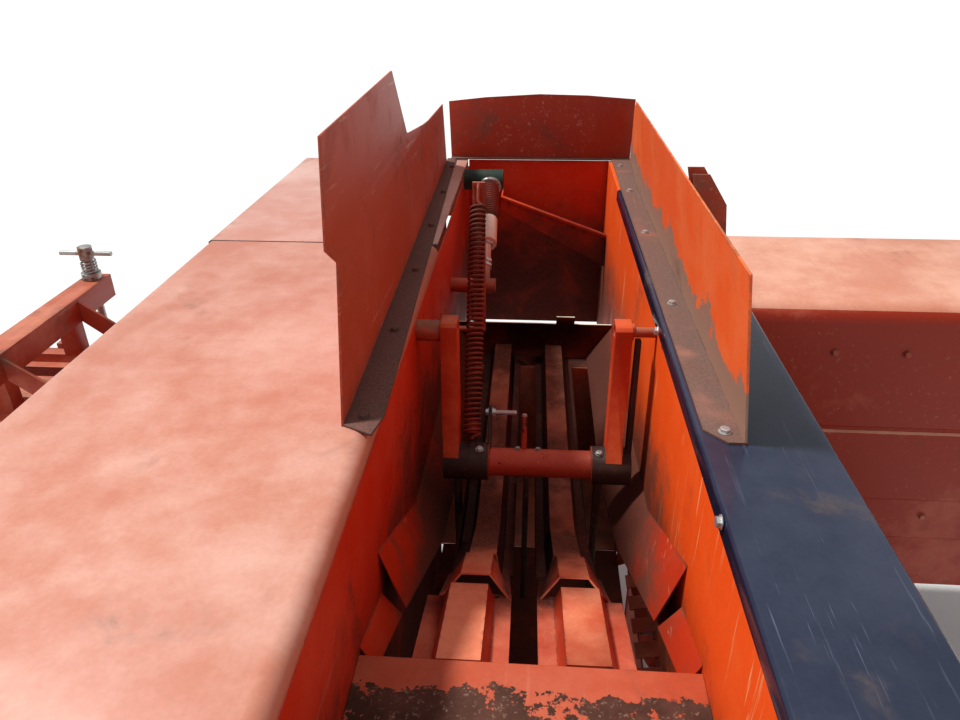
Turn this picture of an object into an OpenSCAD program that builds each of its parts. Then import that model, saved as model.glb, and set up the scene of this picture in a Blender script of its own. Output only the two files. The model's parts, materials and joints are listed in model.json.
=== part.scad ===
// Small square baler, towed, with an open feed channel and a swinging feeder fork.
// X runs forwards, Y to the machine's left, Z up. All sizes are millimetres.
// The modules are drawn about the middle of the feed channel, on the line of the
// bale chamber, and place() moves them so that the machine is centred over its origin.

/* [Feed channel] */
// Clear width of the feed channel between its two walls
channel_w = 510; // [470:5:560]
// Height of the deck and of the channel's rim above the ground
deck_z = 1400; // [1380:5:1450]
// Thickness of the sheet metal
sheet = 4; // [3:0.5:5]
// Far right end of the channel, the deck and the twine box
right_end_y = -1950; // [-2000:10:-1900]
// Left end of the channel's two walls and of the deck
left_end_y = 830; // [780:10:880]
// Thickness of the feeder floor and of the chamber's sheets
plate = 5; // [4:1:8]

/* [Slatted feeder roof] */
// Width of the middle slot that the fork's middle tine runs in
slot_w = 46; // [36:1:56]
// Place of the middle slot across the channel, at the slats' near end
feeder_x = -7; // [-15:1:0]
// Turn of the slats about the vertical, in degrees
feeder_turn = 0.4; // [0:0.1:0.6]
// Width of one hat slat at its foot
slat_w = 120; // [110:1:126]
// Width of the flat crown of a hat slat
slat_crown_w = 54; // [40:1:70]
// Width of a hat slat across the foot of its two webs
slat_web_w = 78; // [72:1:92]
// Height of a hat slat
slat_h = 46; // [30:1:60]
// Mean width of the two side slots between the slats and the wall strips
side_slot_w = 41; // [38:1:48]
// Height of the wall strips above the slats
strip_h = 110; // [80:5:130]

/* [Front beam and guards] */
// Width of the front beam across its top
beam_w = 197; // [170:1:220]
// Depth of the front beam's outer flange
beam_depth = 140; // [100:5:180]
// Left end of the front beam
beam_end_y = 430; // [380:10:480]
// Height of the front guard
front_guard_h = 268; // [220:2:300]
// Lean of the front guard over the channel, in degrees
guard_lean = 6.5; // [0:0.5:10]
// Height of the rear guard at its right end
rear_guard_h = 248; // [220:2:290]
// Height of the rear guard at its left end
guard_far_h = 214; // [160:2:240]
// Height of the flap above the rear guard
flap_h = 165; // [120:5:200]
// Height of the guard across the left end
back_guard_h = 218; // [180:2:240]

/* [Bale chamber] */
// Clear width of the bale chamber
chamber_w = 460; // [450:5:470]
// Clear height of the bale chamber
chamber_h = 360; // [350:5:365]
// Height of the chamber's floor above the ground
chamber_z = 500; // [495:5:505]
// Rear end of the bale chamber
chamber_rear_x = -2300; // [-2400:10:-2200]
// Depth of the hat ribs on the chamber's sides
rib_d = 38; // [30:1:42]
// Length of the bale chute behind the chamber
chute_len = 630; // [500:10:700]

/* [Crank housing] */
// Rear face of the crank housing
housing_x = 480; // [470:5:500]
// Length of the crank housing
housing_len = 1170; // [1100:10:1200]
// Reach of the crank housing past the bale chamber on either side
housing_out = 40; // [36:2:50]
// Height of the housing's top above the ground
housing_top_z = 1320; // [1290:5:1340]
// Height of the housing's bottom edge above the ground
housing_low_z = 440; // [430:5:450]
// Thickness of the housing's walls
housing_wall = 6; // [5:1:8]

/* [Drive] */
// Height of the input shaft above the ground
shaft_z = 880; // [860:5:900]
// Outer radius of the flywheel
flywheel_r = 310; // [280:5:320]
// Width of the flywheel's rim
flywheel_w = 76; // [60:2:84]
// Diameter of the input stub shaft
stub_d = 34.9; // [34.9:0.1:44.4]

/* [Drawbar and jack] */
// Length from the drawbar's pivot to the middle of the hitch eye
drawbar_len = 910; // [860:10:960]
// Angle of the drawbar to the left as the machine is parked
drawbar_angle = 10; // [4:1:14]
// Outer size of the drawbar's square tube
drawbar_tube = 100; // [90:5:110]
// Bore of the hitch eye
eye_bore = 42; // [38:1:50]
// Outer diameter of the hitch eye
eye_d = 104; // [96:2:120]
// Outer diameter of the jack's leg
jack_leg_d = 48; // [44:1:52]
// Diameter of the jack's foot plate
jack_foot_d = 190; // [160:10:220]

/* [Wheels] */
// Radius of the two road tyres
tyre_r = 360; // [340:5:370]
// Width of the two road tyres
tyre_w = 228; // [200:2:236]
// Radius of the rim under the tyre
rim_r = 205; // [190:5:215]
// Place of the wheel axis along the machine
axle_x = -1000; // [-1040:5:-980]
// Middle of the right tyre
right_wheel_y = -1560; // [-1600:5:-1540]
// Middle of the left tyre
left_wheel_y = 525; // [520:5:560]

/* [Pick-up] */
// Place of the reel's axis along the machine
reel_x = 620; // [600:5:640]
// Height of the reel's axis above the ground
reel_z = 362; // [355:1:380]
// Radius of the tine tips
tine_tip_r = 300; // [290:2:306]
// Radius of the stripper bands
band_r = 228; // [216:2:236]
// Number of tine bars on the reel
bar_count = 4; // [3:1:6]
// Number of tines on one bar
tine_count = 19; // [15:1:19]
// Distance between neighbouring tines
tine_pitch = 78; // [74:1:80]
// Radius of the pick-up's gauge wheel
gauge_r = 180; // [160:5:185]

/* [Needles] */
// Radius that the needles swing on
needle_r = 420; // [415:1:425]
// Distance of each needle from the chamber's middle
needle_y = 115; // [100:5:130]

/* [Feeder fork] */
// Height of the fork's pivot above the ground
fork_z = 1354; // [1340:2:1354]
// Place of the fork's pivot across the machine
fork_y = -500; // [-540:5:-460]
// Length of the fork's arms from the pivot to the cross tube
fork_arm_len = 334; // [320:2:340]
// Outer diameter of the fork's cross tube
cross_tube_d = 65; // [60:1:70]
// Reach of the tines below the pivot
tine_reach = 767; // [735:2:780]

/* [Hidden] */
$fn = 64;

fit = 0.3;                                   // running seat between faces that touch
clear = 6;                                   // least gap between pieces that move
wall_x = channel_w / 2;                      // inner face of either channel wall
chamber_top = chamber_z + chamber_h;
side_y = chamber_w / 2;                      // inner face of either chamber side
side_out = side_y + plate;
slat_z = chamber_top;                        // level of the slats' feet over the chamber
deck_out_x = -862;                           // rear edge of the deck
housing_w = chamber_w + 2 * housing_out;
lap_y = -120;                                // where the near deck sheet laps the far one
box_floor_z = 750;
box_left_y = -330;
housing_front_x = housing_x + housing_len;
chute_end_x = chamber_rear_x - 20 - chute_len;
pivot_x = 1990;                              // drawbar pivot
pivot_y = 60;
pivot_z = 470;
eye_x = pivot_x + drawbar_len * cos(drawbar_angle);
eye_y = pivot_y + drawbar_len * sin(drawbar_angle);
front_tip_x = eye_x + eye_d / 2;
gauge_y = -1978;                             // middle of the gauge wheel
gauge_w = 96;
mid_x = (front_tip_x + chute_end_x) / 2;
back_gap = 10;                               // the back guard stands this far past the channel
guard_end_gap = 14;                          // the rear guard ends this far short of the channel
end_low_z = 746;                             // lower edge of the walls past the chamber
mid_y = (left_end_y + back_gap + sheet + gauge_y - gauge_w / 2) / 2;

paint = "#c8452c";
faded = "#c96a55";
orange = "#e2511f";
dark = "#8c2f20";
navy = "#1d2a4c";
steel = "#8f9296";
black = "#26241f";

module place() {
    translate([-mid_x, -mid_y, 0]) children();
}

// A box given by its two corners
module block(a, b) {
    translate(a) cube([b[0] - a[0], b[1] - a[1], b[2] - a[2]]);
}

// A flat outline in the X-Z plane, given thickness t towards +Y from y
module plate_xz(y, t) {
    translate([0, y + t, 0]) rotate([90, 0, 0]) linear_extrude(t) children();
}

// A flat outline in the Y-Z plane, given thickness t towards +X from x
module plate_yz(x, t) {
    translate([x, 0, 0]) rotate([90, 0, 90]) linear_extrude(t) children();
}

// A round bar along X, Y or Z
module bar_x(x0, x1, y, z, d) {
    translate([x0, y, z]) rotate([0, 90, 0]) cylinder(h = x1 - x0, d = d);
}
module bar_y(y0, y1, x, z, d) {
    translate([x, y1, z]) rotate([90, 0, 0]) cylinder(h = y1 - y0, d = d);
}
module bar_z(z0, z1, x, y, d) {
    translate([x, y, z0]) cylinder(h = z1 - z0, d = d);
}

// Bale chamber

rail_x = -1250;                              // behind this the floor and roof are rails
rail_gap = 60;
rib_w = 64;
rib_xs = [-2270, -1900, -1640, -1300, -650];
needle_slot_x = [-840 + 345, -840 + 415];    // where the needles' arc crosses floor and roof
needle_slot_w = 26;
track_len = 470;                             // the plunger's track inside the housing
chute_hinge_x = chamber_rear_x - 14;
chute_hinge_z = chamber_z - 16;
chute_barrel_d = 22;

module needle_slots(z) {
    for (side = [-1, 1])
        block([needle_slot_x[0], side * needle_y - needle_slot_w / 2, z - 10],
              [needle_slot_x[1], side * needle_y + needle_slot_w / 2, z + plate + 10]);
}
module rail_slots(z) {
    for (side = [-1, 1])
        block([chamber_rear_x + 70, side * 95 - rail_gap / 2, z - 10],
              [rail_x, side * 95 + rail_gap / 2, z + plate + 10]);
}
module chamber_floor() {
    color(paint) place() {
        difference() {
            block([chamber_rear_x, -side_y, chamber_z - plate],
                  [housing_x + track_len, side_y, chamber_z]);
            needle_slots(chamber_z - plate);
            rail_slots(chamber_z - plate);
        }
        for (side = [-1, 1])
            block([chamber_rear_x + 40, side * 180 - 20, chamber_z - plate - 30],
                  [-1120, side * 180 + 20, chamber_z - plate]);
        // hinge barrel and pin of the chute
        bar_y(-80, 80, chute_hinge_x, chute_hinge_z, chute_barrel_d);
        bar_y(-150, 150, chute_hinge_x, chute_hinge_z, 10);
        block([chute_hinge_x, -80, chute_hinge_z], [chamber_rear_x + 60, 80, chamber_z - plate]);
    }
}
module chamber_roof() {
    color(paint) place() {
        difference() {
            block([chamber_rear_x, -side_y, chamber_top], [housing_x, side_y, chamber_top + plate]);
            block([-wall_x, -side_y - 1, chamber_top - 1], [wall_x, side_y + 1, chamber_top + plate + 1]);
            needle_slots(chamber_top);
            rail_slots(chamber_top);
        }
        for (side = [-1, 1])
            block([chamber_rear_x + 40, side * 180 - 20, chamber_top + plate],
                  [-1120, side * 180 + 20, chamber_top + plate + 30]);
    }
}
module chamber_side(side, opening) {
    y_in = side > 0 ? side_y : -side_out;
    difference() {
        block([chamber_rear_x, y_in, chamber_z - plate], [housing_x, y_in + plate, chamber_top + plate]);
        block([-wall_x, y_in - 1, opening ? chamber_z - plate - 1 : chamber_top],
              [wall_x, y_in + plate + 1, chamber_top + plate + 1]);
    }
    y_rib = side > 0 ? side_out : -side_out - rib_d;
    for (x = rib_xs)
        block([x, y_rib, chamber_z - plate - 30], [x + rib_w, y_rib + rib_d, chamber_top + plate + 30]);
    // long angle rails along the rear half, top and bottom
    for (z = [chamber_z - plate, chamber_top + plate - 34])
        block([chamber_rear_x, side > 0 ? side_out : -side_out - 26, z],
              [-1120, side > 0 ? side_out + 26 : -side_out, z + 34]);
    // boss that carries the needle yoke
    bar_y(side > 0 ? side_out : -side_out - 50, side > 0 ? side_out + 50 : -side_out,
          yoke_x, yoke_z, 84);
}
module chamber_left_side() {
    color(paint) place() chamber_side(1, false);
}
module chamber_right_side() {
    color(paint) place() chamber_side(-1, true);
}

// Crank housing with its folded side panels and rounded upper edges

module housing_outline(grow) {
    w = housing_w / 2 + grow;
    low = housing_low_z - (grow < 0 ? -grow : 0);
    half = [[w - 20, low], [w - 20, 612], [w - 8, 624], [w - 8, 752], [w, 762],
            [w, 966], [w - 8, 974], [w - 8, 982], [w, 990], [w, housing_top_z + grow - 44],
            for (a = [15:15:75]) [w - 44 + 44 * cos(a), housing_top_z + grow - 44 + 44 * sin(a)],
            [w - 44, housing_top_z + grow]];
    n = len(half);
    polygon(concat(half, [for (i = [1:n]) [-half[n - i][0], half[n - i][1]]]));
}
module crank_housing() {
    color(faded) place() difference() {
        plate_yz(housing_x, housing_len) housing_outline(0);
        plate_yz(housing_x + housing_wall, housing_len - 2 * housing_wall)
            housing_outline(-housing_wall);
        block([housing_x - 1, -side_y, chamber_z - plate],
              [housing_x + housing_wall + 1, side_y, chamber_top]);
        block([housing_x + 100, -housing_w / 2 + 60, housing_low_z - 1],
              [housing_front_x - 250, housing_w / 2 - 60, housing_low_z + housing_wall + 1]);
    }
}
module plunger() {
    color(dark) place()
        block([housing_x + 40, -side_y + clear, chamber_z + fit],
              [housing_x + 440, side_y - clear, chamber_top - clear]);
}

// Drive line at the front

gearbox_len = 240;
flywheel_x = housing_front_x + gearbox_len + 40;
frame_front_x = 2090;
module gearbox() {
    color(paint) place() {
        block([housing_front_x, -150, shaft_z - 170], [housing_front_x + 30, 150, shaft_z + 170]);
        block([housing_front_x + 30, -115, shaft_z - 140], [housing_front_x + 190, 115, shaft_z + 140]);
        bar_x(housing_front_x + 190, housing_front_x + gearbox_len, 0, shaft_z, 170);
        bar_y(-165, 165, housing_front_x + 110, shaft_z, 190);
    }
}
module flywheel() {
    color(steel) place() {
        difference() {
            union() {
                translate([flywheel_x, 0, shaft_z]) rotate([0, 90, 0]) rotate_extrude($fn = 96)
                    polygon([[0, 22], [flywheel_r - 46, 22], [flywheel_r - 46, 0], [flywheel_r, 0],
                             [flywheel_r, flywheel_w], [flywheel_r - 46, flywheel_w],
                             [flywheel_r - 46, 46], [90, 46], [90, 96], [50, 110], [0, 110]]);
            }
            for (i = [0:5]) rotate_about_shaft(i * 60)
                bar_x(flywheel_x - 1, flywheel_x + 60, 0, shaft_z + 178, 78);
        }
        bar_x(flywheel_x - 40 + fit, flywheel_x + 22, 0, shaft_z, 60);
        bar_x(flywheel_x + 110, flywheel_x + 230, 0, shaft_z, stub_d);
    }
}
module rotate_about_shaft(a) {
    translate([0, 0, shaft_z]) rotate([a, 0, 0]) translate([0, 0, -shaft_z]) children();
}
guard_r = flywheel_r + 30;
module flywheel_guard() {
    color(paint) place() {
        translate([flywheel_x - 12, 0, shaft_z]) rotate([0, 90, 0]) rotate([0, 0, 90])
            rotate_extrude(angle = 180, $fn = 96) translate([guard_r, 0]) square([sheet, flywheel_w + 34]);
        translate([flywheel_x - 12 - sheet, 0, 0]) difference() {
            plate_yz(0, sheet) difference() {
                translate([0, shaft_z]) circle(r = guard_r + sheet);
                translate([0, shaft_z]) circle(d = 180);
                translate([-guard_r - 10, shaft_z - guard_r - 10]) square([2 * guard_r + 20, guard_r + 10]);
            }
        }
        for (side = [-1, 1])
            block([housing_front_x, side * 250 - 20, shaft_z + 20],
                  [flywheel_x - 12 - sheet, side * 250 + 20, shaft_z + 26]);
    }
}

// Bracket under the gearbox that the drawbar is pinned to

boss_d = 120;
pin_d = 40;
module hitch_bracket() {
    half = drawbar_tube / 2 + fit;
    color(paint) place() {
        block([housing_front_x, pivot_y - 130, pivot_z - half - 60],
              [housing_front_x + 14, pivot_y + 130, pivot_z + half + 70]);
        for (z = [pivot_z - half - 14, pivot_z + half])
            translate([0, 0, z]) linear_extrude(14) difference() {
                hull() {
                    translate([housing_front_x, pivot_y - 120]) square([10, 240]);
                    translate([pivot_x, pivot_y]) circle(d = 130);
                }
                translate([pivot_x, pivot_y]) circle(d = pin_d - 2);
            }
        bar_z(pivot_z - half - 24, pivot_z + half + 30, pivot_x, pivot_y, pin_d);
        for (side = [-1, 1])
            plate_xz(pivot_y + side * 100 - 5, 10)
                polygon([[housing_front_x, pivot_z - half - 60], [housing_front_x + 14, pivot_z - half - 60],
                         [housing_front_x + 190, pivot_z - half - 14], [housing_front_x + 190, pivot_z + half],
                         [housing_front_x, pivot_z + half]]);
    }
}

// Feed channel

module channel_rear_wall() {
    color(dark) place() {
        y_rib = -side_out - rib_d - 2;
        plate_yz(-wall_x - sheet, sheet)
            polygon([[right_end_y + sheet, chamber_z - plate], [y_rib, chamber_z - plate], [y_rib, chamber_top + plate],
                     [side_out + fit, chamber_top + plate], [side_out + fit, end_low_z], [left_end_y, end_low_z],
                     [left_end_y, deck_z - sheet], [right_end_y + sheet, deck_z - sheet]]);
        // swage that stiffens the wall
        block([-wall_x - 14, right_end_y + 40, 1210], [-wall_x - sheet, left_end_y - 40, 1230]);
    }
}
module channel_front_wall() {
    color(orange) place() {
        plate_yz(wall_x, sheet)
            polygon([[right_end_y + sheet, chamber_top + plate], [side_out + fit, chamber_top + plate],
                     [side_out + fit, end_low_z], [left_end_y, end_low_z], [left_end_y, deck_z - sheet],
                     [right_end_y + sheet, deck_z - sheet]]);
        block([wall_x + sheet, beam_end_y + 2, deck_z - 2 * sheet], [wall_x + 90, left_end_y, deck_z - sheet]);
        block([wall_x + sheet, right_end_y + sheet, 1120], [wall_x + 14, -300, 1140]);
    }
}
// Brackets at both ends of the inlet, with the pins that the pick-up is hung on
lift_x = 310;
lift_z = 570;
lift_pin_d = 24;
pickup_y0 = -1905;
pickup_y1 = -330;
pickup_side = 5;
module pickup_brackets() {
    left_y = -side_out - rib_d - 26;
    color(orange) place() {
        for (y = [right_end_y + sheet, left_y])
            plate_xz(y, 10) polygon([[wall_x, 500], [lift_x + 30, 540], [lift_x + 30, lift_z + 40],
                                     [wall_x + sheet + 20, chamber_top + 40], [wall_x + sheet, chamber_top + 40],
                                     [wall_x + sheet, chamber_top + plate], [wall_x, chamber_top + plate]]);
        bar_y(right_end_y + sheet + 10, pickup_y0 + pickup_side, lift_x, lift_z, lift_pin_d);
        bar_y(pickup_y1 - pickup_side, left_y, lift_x, lift_z, lift_pin_d);
    }
}
cover_z = 1130;
cover_end_y = -1168;
module channel_cover() {
    color(faded) place()
        plate_yz(-wall_x, channel_w)
            polygon([[right_end_y + sheet, cover_z - sheet], [cover_end_y - sheet, cover_z - sheet],
                     [cover_end_y - sheet, cover_z - 42], [cover_end_y, cover_z - 42], [cover_end_y, cover_z],
                     [right_end_y + sheet, cover_z]]);
}
module end_plate() {
    color(faded) place()
        plate_xz(right_end_y, sheet)
            polygon([[-wall_x - sheet, chamber_z - plate], [wall_x + 12, chamber_z - plate], [lift_x + 50, 640],
                     [wall_x + beam_w, 900], [wall_x + beam_w, deck_z], [-wall_x, deck_z],
                     [-wall_x, deck_z - sheet], [-wall_x - sheet, deck_z - sheet]]);
}
module feeder_floor() {
    color(dark) place()
        block([-wall_x, right_end_y + sheet, chamber_z - plate], [wall_x + 6, -side_out, chamber_z]);
}

// Slats: their course from the cover down to the chamber, as [y, z] of the foot line

slat_end_y = 245;                            // the slats' flanges end here, their crowns run on to the rail
end_rail_y = 300;
hood_low = [-950, 1030];                     // mouth and knee of the hat slats
hood_knee = [-640, 877];
hood_neck = hood_low + 0.36 * (hood_knee - hood_low);
slat_course = [[cover_end_y + 3, 1090], hood_low, hood_neck, hood_knee, [-400, slat_z + fit],
               [slat_end_y, slat_z + fit], [end_rail_y - fit, slat_z + fit]];
flange_end = 5;                              // the hat slats' flanges end at this point of the course
near_slat = [152, 92, 68, 30];               // foot, webs' foot, crown and height of the low slats by the cover
mouth_w = 132;                               // width of a hat slat at its open mouth
sheet_t = 3;                                 // sheet of the slats and wall strips
feeder_mid = feeder_x - tan(feeder_turn) * (fork_y - cover_end_y);

// Half of a slat's outer outline, from its foot to its crown, with a flange where the foot is wider than the webs
function slat_half(w, web, crown, h) =
    concat(w > web ? [[w / 2, 0], [w / 2, sheet_t], [web / 2, sheet_t]] : [[web / 2, 0]], [[crown / 2, h]]);
module slat_section(w, web, crown, h) {
    half = slat_half(w, web, crown, h);
    n = len(half);
    inner = [[-crown / 2 + sheet_t * 0.7, h - sheet_t], [crown / 2 - sheet_t * 0.7, h - sheet_t]];
    polygon(concat(half, [for (i = [1:n]) [-half[n - i][0], half[n - i][1]]],
                   [[-web / 2 + sheet_t, 0]], inner, [[web / 2 - sheet_t, 0]]));
}
// Puts children on the course from one of its points, with +Y along it
module on_course(x, i) {
    step = slat_course[i + 1] - slat_course[i];
    translate([x, slat_course[i][0], slat_course[i][1]]) rotate([atan2(step[1], step[0]), 0, 0]) children();
}
module slat_run(x, from, to, w, web, crown, h) {
    for (i = [from:to - 1]) {
        len = norm(slat_course[i + 1] - slat_course[i]);
        on_course(x, i) translate([0, len, 0]) rotate([90, 0, 0])
            linear_extrude(len) slat_section(w, web, crown, h);
    }
}
module trapezoid_slice(y, low, foot, crown, h) {
    translate([0, y, 0]) rotate([90, 0, 0]) linear_extrude(0.5)
        polygon([[-foot / 2, low], [foot / 2, low], [crown / 2, h], [-crown / 2, h]]);
}
// Open mouth of a hat slat, whose webs spread out to the slat's whole width
module slat_mouth(x) {
    t = sheet_t;
    len = norm(hood_neck - hood_low);
    on_course(x, 1) {
        difference() {
            hull() {
                trapezoid_slice(0.5, 0, mouth_w, slat_crown_w, slat_h);
                trapezoid_slice(len, 0, slat_web_w, slat_crown_w, slat_h);
            }
            hull() {
                trapezoid_slice(-1, -2, mouth_w - 3 * t, slat_crown_w - 1.4 * t, slat_h - t);
                trapezoid_slice(len + 2, -2, slat_web_w - 2 * t, slat_crown_w - 1.4 * t, slat_h - t);
            }
        }
        for (side = [0, 1]) mirror([side, 0, 0]) linear_extrude(t)
            polygon([[mouth_w / 2 - 4, 0], [mouth_w / 2, 0], [slat_w / 2, len], [slat_web_w / 2 - 3, len]]);
    }
}
module feeder_slats() {
    color(orange) place() {
        translate([feeder_x, cover_end_y, 0]) rotate([0, 0, feeder_turn]) translate([0, -cover_end_y, 0])
            for (side = [-1, 1]) {
                slat_x = side * (slot_w + slat_w) / 2;
                slat_run(side * (slot_w + near_slat[0]) / 2, 0, 1, near_slat[0], near_slat[1], near_slat[2],
                         near_slat[3]);
                slat_mouth(side * (slot_w + mouth_w) / 2);
                slat_run(slat_x, 2, flange_end, slat_w, slat_web_w, slat_crown_w, slat_h);
                slat_run(slat_x, flange_end, len(slat_course) - 1, slat_web_w, slat_web_w, slat_crown_w, slat_h);
                // strap under the joint of a low slat and its hat slat
                translate([slat_x, 0, 0]) block([-slat_w / 2, -964, 1022], [slat_w / 2, -940, 1032]);
            }
        // foot plate that the slats' upper ends are bolted to
        block([-wall_x + fit, cover_end_y + fit, 1062], [wall_x - fit, cover_end_y + 6, 1092]);
        // rail across the slats' far ends, with one short post
        block([-wall_x + fit, end_rail_y, slat_z - 2], [wall_x - fit, end_rail_y + 6, 985]);
        block([73, end_rail_y, 985], [133, end_rail_y + 6, 1010]);
        block([-wall_x + fit, side_out + fit, slat_z - 2], [wall_x - fit, end_rail_y + 6, slat_z + 1]);
    }
}
strip_shift = 6;                             // both strips stand this far to the rear
strip_in = slot_w / 2 + slat_w + side_slot_w;
strip_left = strip_in + strip_shift;         // edges of the strips, measured from the channel's middle
strip_right = strip_in - strip_shift;
module strip_slice(y, z, in, h) {
    translate([0, y, z]) rotate([90, 0, 0]) linear_extrude(1)
        polygon([[wall_x - fit, h], [in, 0], [in + sheet_t, 0], [wall_x - fit, h - sheet_t - 2]]);
}
module wall_strips() {
    knee_in = 196;
    mouth_in = 214;
    color(orange) place() for (side = [0, 1]) mirror([side, 0, 0]) {
        in = side == 1 ? strip_left : strip_right;
        translate([0, end_rail_y - fit, slat_z + 6]) rotate([90, 0, 0])
            linear_extrude(end_rail_y - fit + 400)
                polygon([[wall_x - fit, strip_h], [in, 0], [in + sheet_t, 0], [wall_x - fit, strip_h - sheet_t - 2]]);
        // the strip rises with the slats and narrows towards its open near end
        hull() {
            strip_slice(-400, slat_z + 6, in, strip_h);
            strip_slice(hood_knee[0], hood_knee[1] + 6, knee_in, strip_h);
        }
        hull() {
            strip_slice(hood_knee[0], hood_knee[1] + 6, knee_in, strip_h);
            strip_slice(-1000, 1050, mouth_in, strip_h + 20);
        }
        // low panel between the strip's open end and the cover
        hull() {
            strip_slice(-1008, 1044, mouth_in + 6, 50);
            strip_slice(cover_end_y + 9, 1088, mouth_in + 18, 50);
        }
    }
}
slant_x0 = -130;
slant_y = 700;
module far_plate() {
    color(dark) place() {
        block([-wall_x, left_end_y - sheet, end_low_z], [wall_x, left_end_y, deck_z - sheet]);
        // slanting plate with an angle along its upper edge and a row of bolt heads, in front of the end plate
        plate_xz(slant_y, 5)
            polygon([[slant_x0, 1300], [wall_x - fit, 1160], [wall_x - fit, 1035], [-110, 1236], [slant_x0, 1240]]);
        plate_xz(slant_y - 16, 16)
            polygon([[slant_x0, 1300], [wall_x - fit, 1160], [wall_x - fit, 1150], [slant_x0, 1290]]);
        for (i = [0:8])
            bar_y(slant_y - 6, slant_y, -95 + i * 40, 1266 - i * 14.2, 15);
        // bracket that holds the plate's free end to the end plate
        block([slant_x0, slant_y, 1244], [slant_x0 + 5, left_end_y - sheet, 1296]);
    }
}

// Deck sheets over the twine box and the knotters

module deck() {
    color(faded) place()
        plate_xz(right_end_y, lap_y - right_end_y + 12)
            polygon([[deck_out_x, deck_z - 60], [deck_out_x + sheet, deck_z - 60], [deck_out_x + sheet, deck_z - sheet],
                     [-wall_x, deck_z - sheet], [-wall_x, deck_z], [deck_out_x, deck_z]]);
}
knotter_out_x = deck_out_x - 6;
module knotter_deck() {
    color(faded) place() {
        plate_xz(lap_y + 12 + fit, left_end_y - lap_y - 12 - fit)
            polygon([[knotter_out_x, deck_z - 72], [knotter_out_x + sheet, deck_z - 72],
                     [knotter_out_x + sheet, deck_z - 2 * sheet], [-wall_x - sheet, deck_z - 2 * sheet],
                     [-wall_x - sheet, deck_z - sheet], [knotter_out_x, deck_z - sheet]]);
        block([knotter_out_x, left_end_y, 1180], [-wall_x - sheet, left_end_y + sheet, deck_z - sheet]);
        // two legs down to the chamber's left side
        for (x = [knotter_out_x + 20, -wall_x - 60])
            block([x, side_out, chamber_top + plate + 31], [x + 40, side_out + 5, deck_z - 2 * sheet]);
    }
}

// Twine box under the deck, with its door at the back

box_x = deck_out_x + 10;
twine_hinge_x = box_x - 9;
twine_hinge_z = deck_z - 100;
twine_door_y = [right_end_y + 90, box_left_y - 90];
twine_barrel_y = [twine_door_y[0] + 200, twine_door_y[1] - 260];
module twine_box() {
    color(paint) place() {
        x0 = box_x;
        x1 = -wall_x - sheet - 10 - fit;
        difference() {
            block([x0, right_end_y, box_floor_z], [x1, box_left_y, deck_z - sheet]);
            block([x0 + 4, right_end_y + 4, box_floor_z + 4], [x1 - 4, box_left_y - 4, deck_z]);
            block([x0 - 1, right_end_y + 80, box_floor_z + 60], [x0 + 5, box_left_y - 80, deck_z - 110]);
        }
        // hinge barrels above the door, each with its pin
        for (y = twine_barrel_y) {
            bar_y(y, y + 60, twine_hinge_x, twine_hinge_z, 18);
            bar_y(y - 40, y + 60, twine_hinge_x, twine_hinge_z, 8);
            block([twine_hinge_x, y, twine_hinge_z - 4], [x0 + 1, y + 60, twine_hinge_z + 4]);
        }
    }
}
// Grab handle of a door, standing off its outer face
module handle(x, y, z) {
    bar_y(y - 60, y + 60, x - 26, z, 12);
    for (side = [-1, 1])
        block([x - 31, y + side * 48 - 6, z - 6], [x, y + side * 48 + 6, z + 6]);
}
module twine_door() {
    color(faded) place() {
        block([box_x - 16, twine_door_y[0], box_floor_z + 30],
              [box_x - fit, twine_door_y[1], twine_hinge_z - 14]);
        difference() {
            for (y = twine_barrel_y) {
                bar_y(y - 60, y - fit, twine_hinge_x, twine_hinge_z, 18);
                block([box_x - 16, y - 60, twine_hinge_z - 15], [box_x - 4, y - fit, twine_hinge_z]);
            }
            bar_y(right_end_y, box_left_y, twine_hinge_x, twine_hinge_z, 8 + 2 * fit);
        }
        handle(box_x - 16, -1140, box_floor_z + 120);
    }
}
knotter_door_x = knotter_out_x - fit;
knotter_hinge_x = knotter_door_x - 7;
knotter_hinge_z = deck_z - 66;
knotter_door_y = [lap_y + 22, left_end_y - 240];
module knotter_door() {
    color(faded) place() {
        block([knotter_door_x - 12, knotter_door_y[0], 930],
              [knotter_door_x - 2, knotter_door_y[1], knotter_hinge_z - 12]);
        bar_y(knotter_door_y[0], knotter_door_y[1], knotter_hinge_x, knotter_hinge_z, 14);
        block([knotter_door_x - 11, knotter_door_y[0], knotter_hinge_z - 14],
              [knotter_door_x - 3, knotter_door_y[1], knotter_hinge_z]);
        handle(knotter_door_x - 11, 250, 975);
    }
}
module knotters() {
    color(steel) place() {
        for (side = [-1, 1]) {
            y = side * needle_y;
            block([-720, y + 28, chamber_top + plate], [-520, y + 44, 1080]);
            bar_y(y - 50, y + 27, -640, 1020, 180);
            bar_y(y - 62, y - 50, -640, 1020, 120);
            bar_y(y - 20, y + 28, -540, 940, 60);
        }
        bar_y(-side_y, side_y, -640, 1020, 40);
        for (y = [-side_y + 1, side_y - 13])
            block([-690, y, chamber_top + plate], [-590, y + 12, 1060]);
    }
}

// Front beam and the guards on the channel's rim

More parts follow.
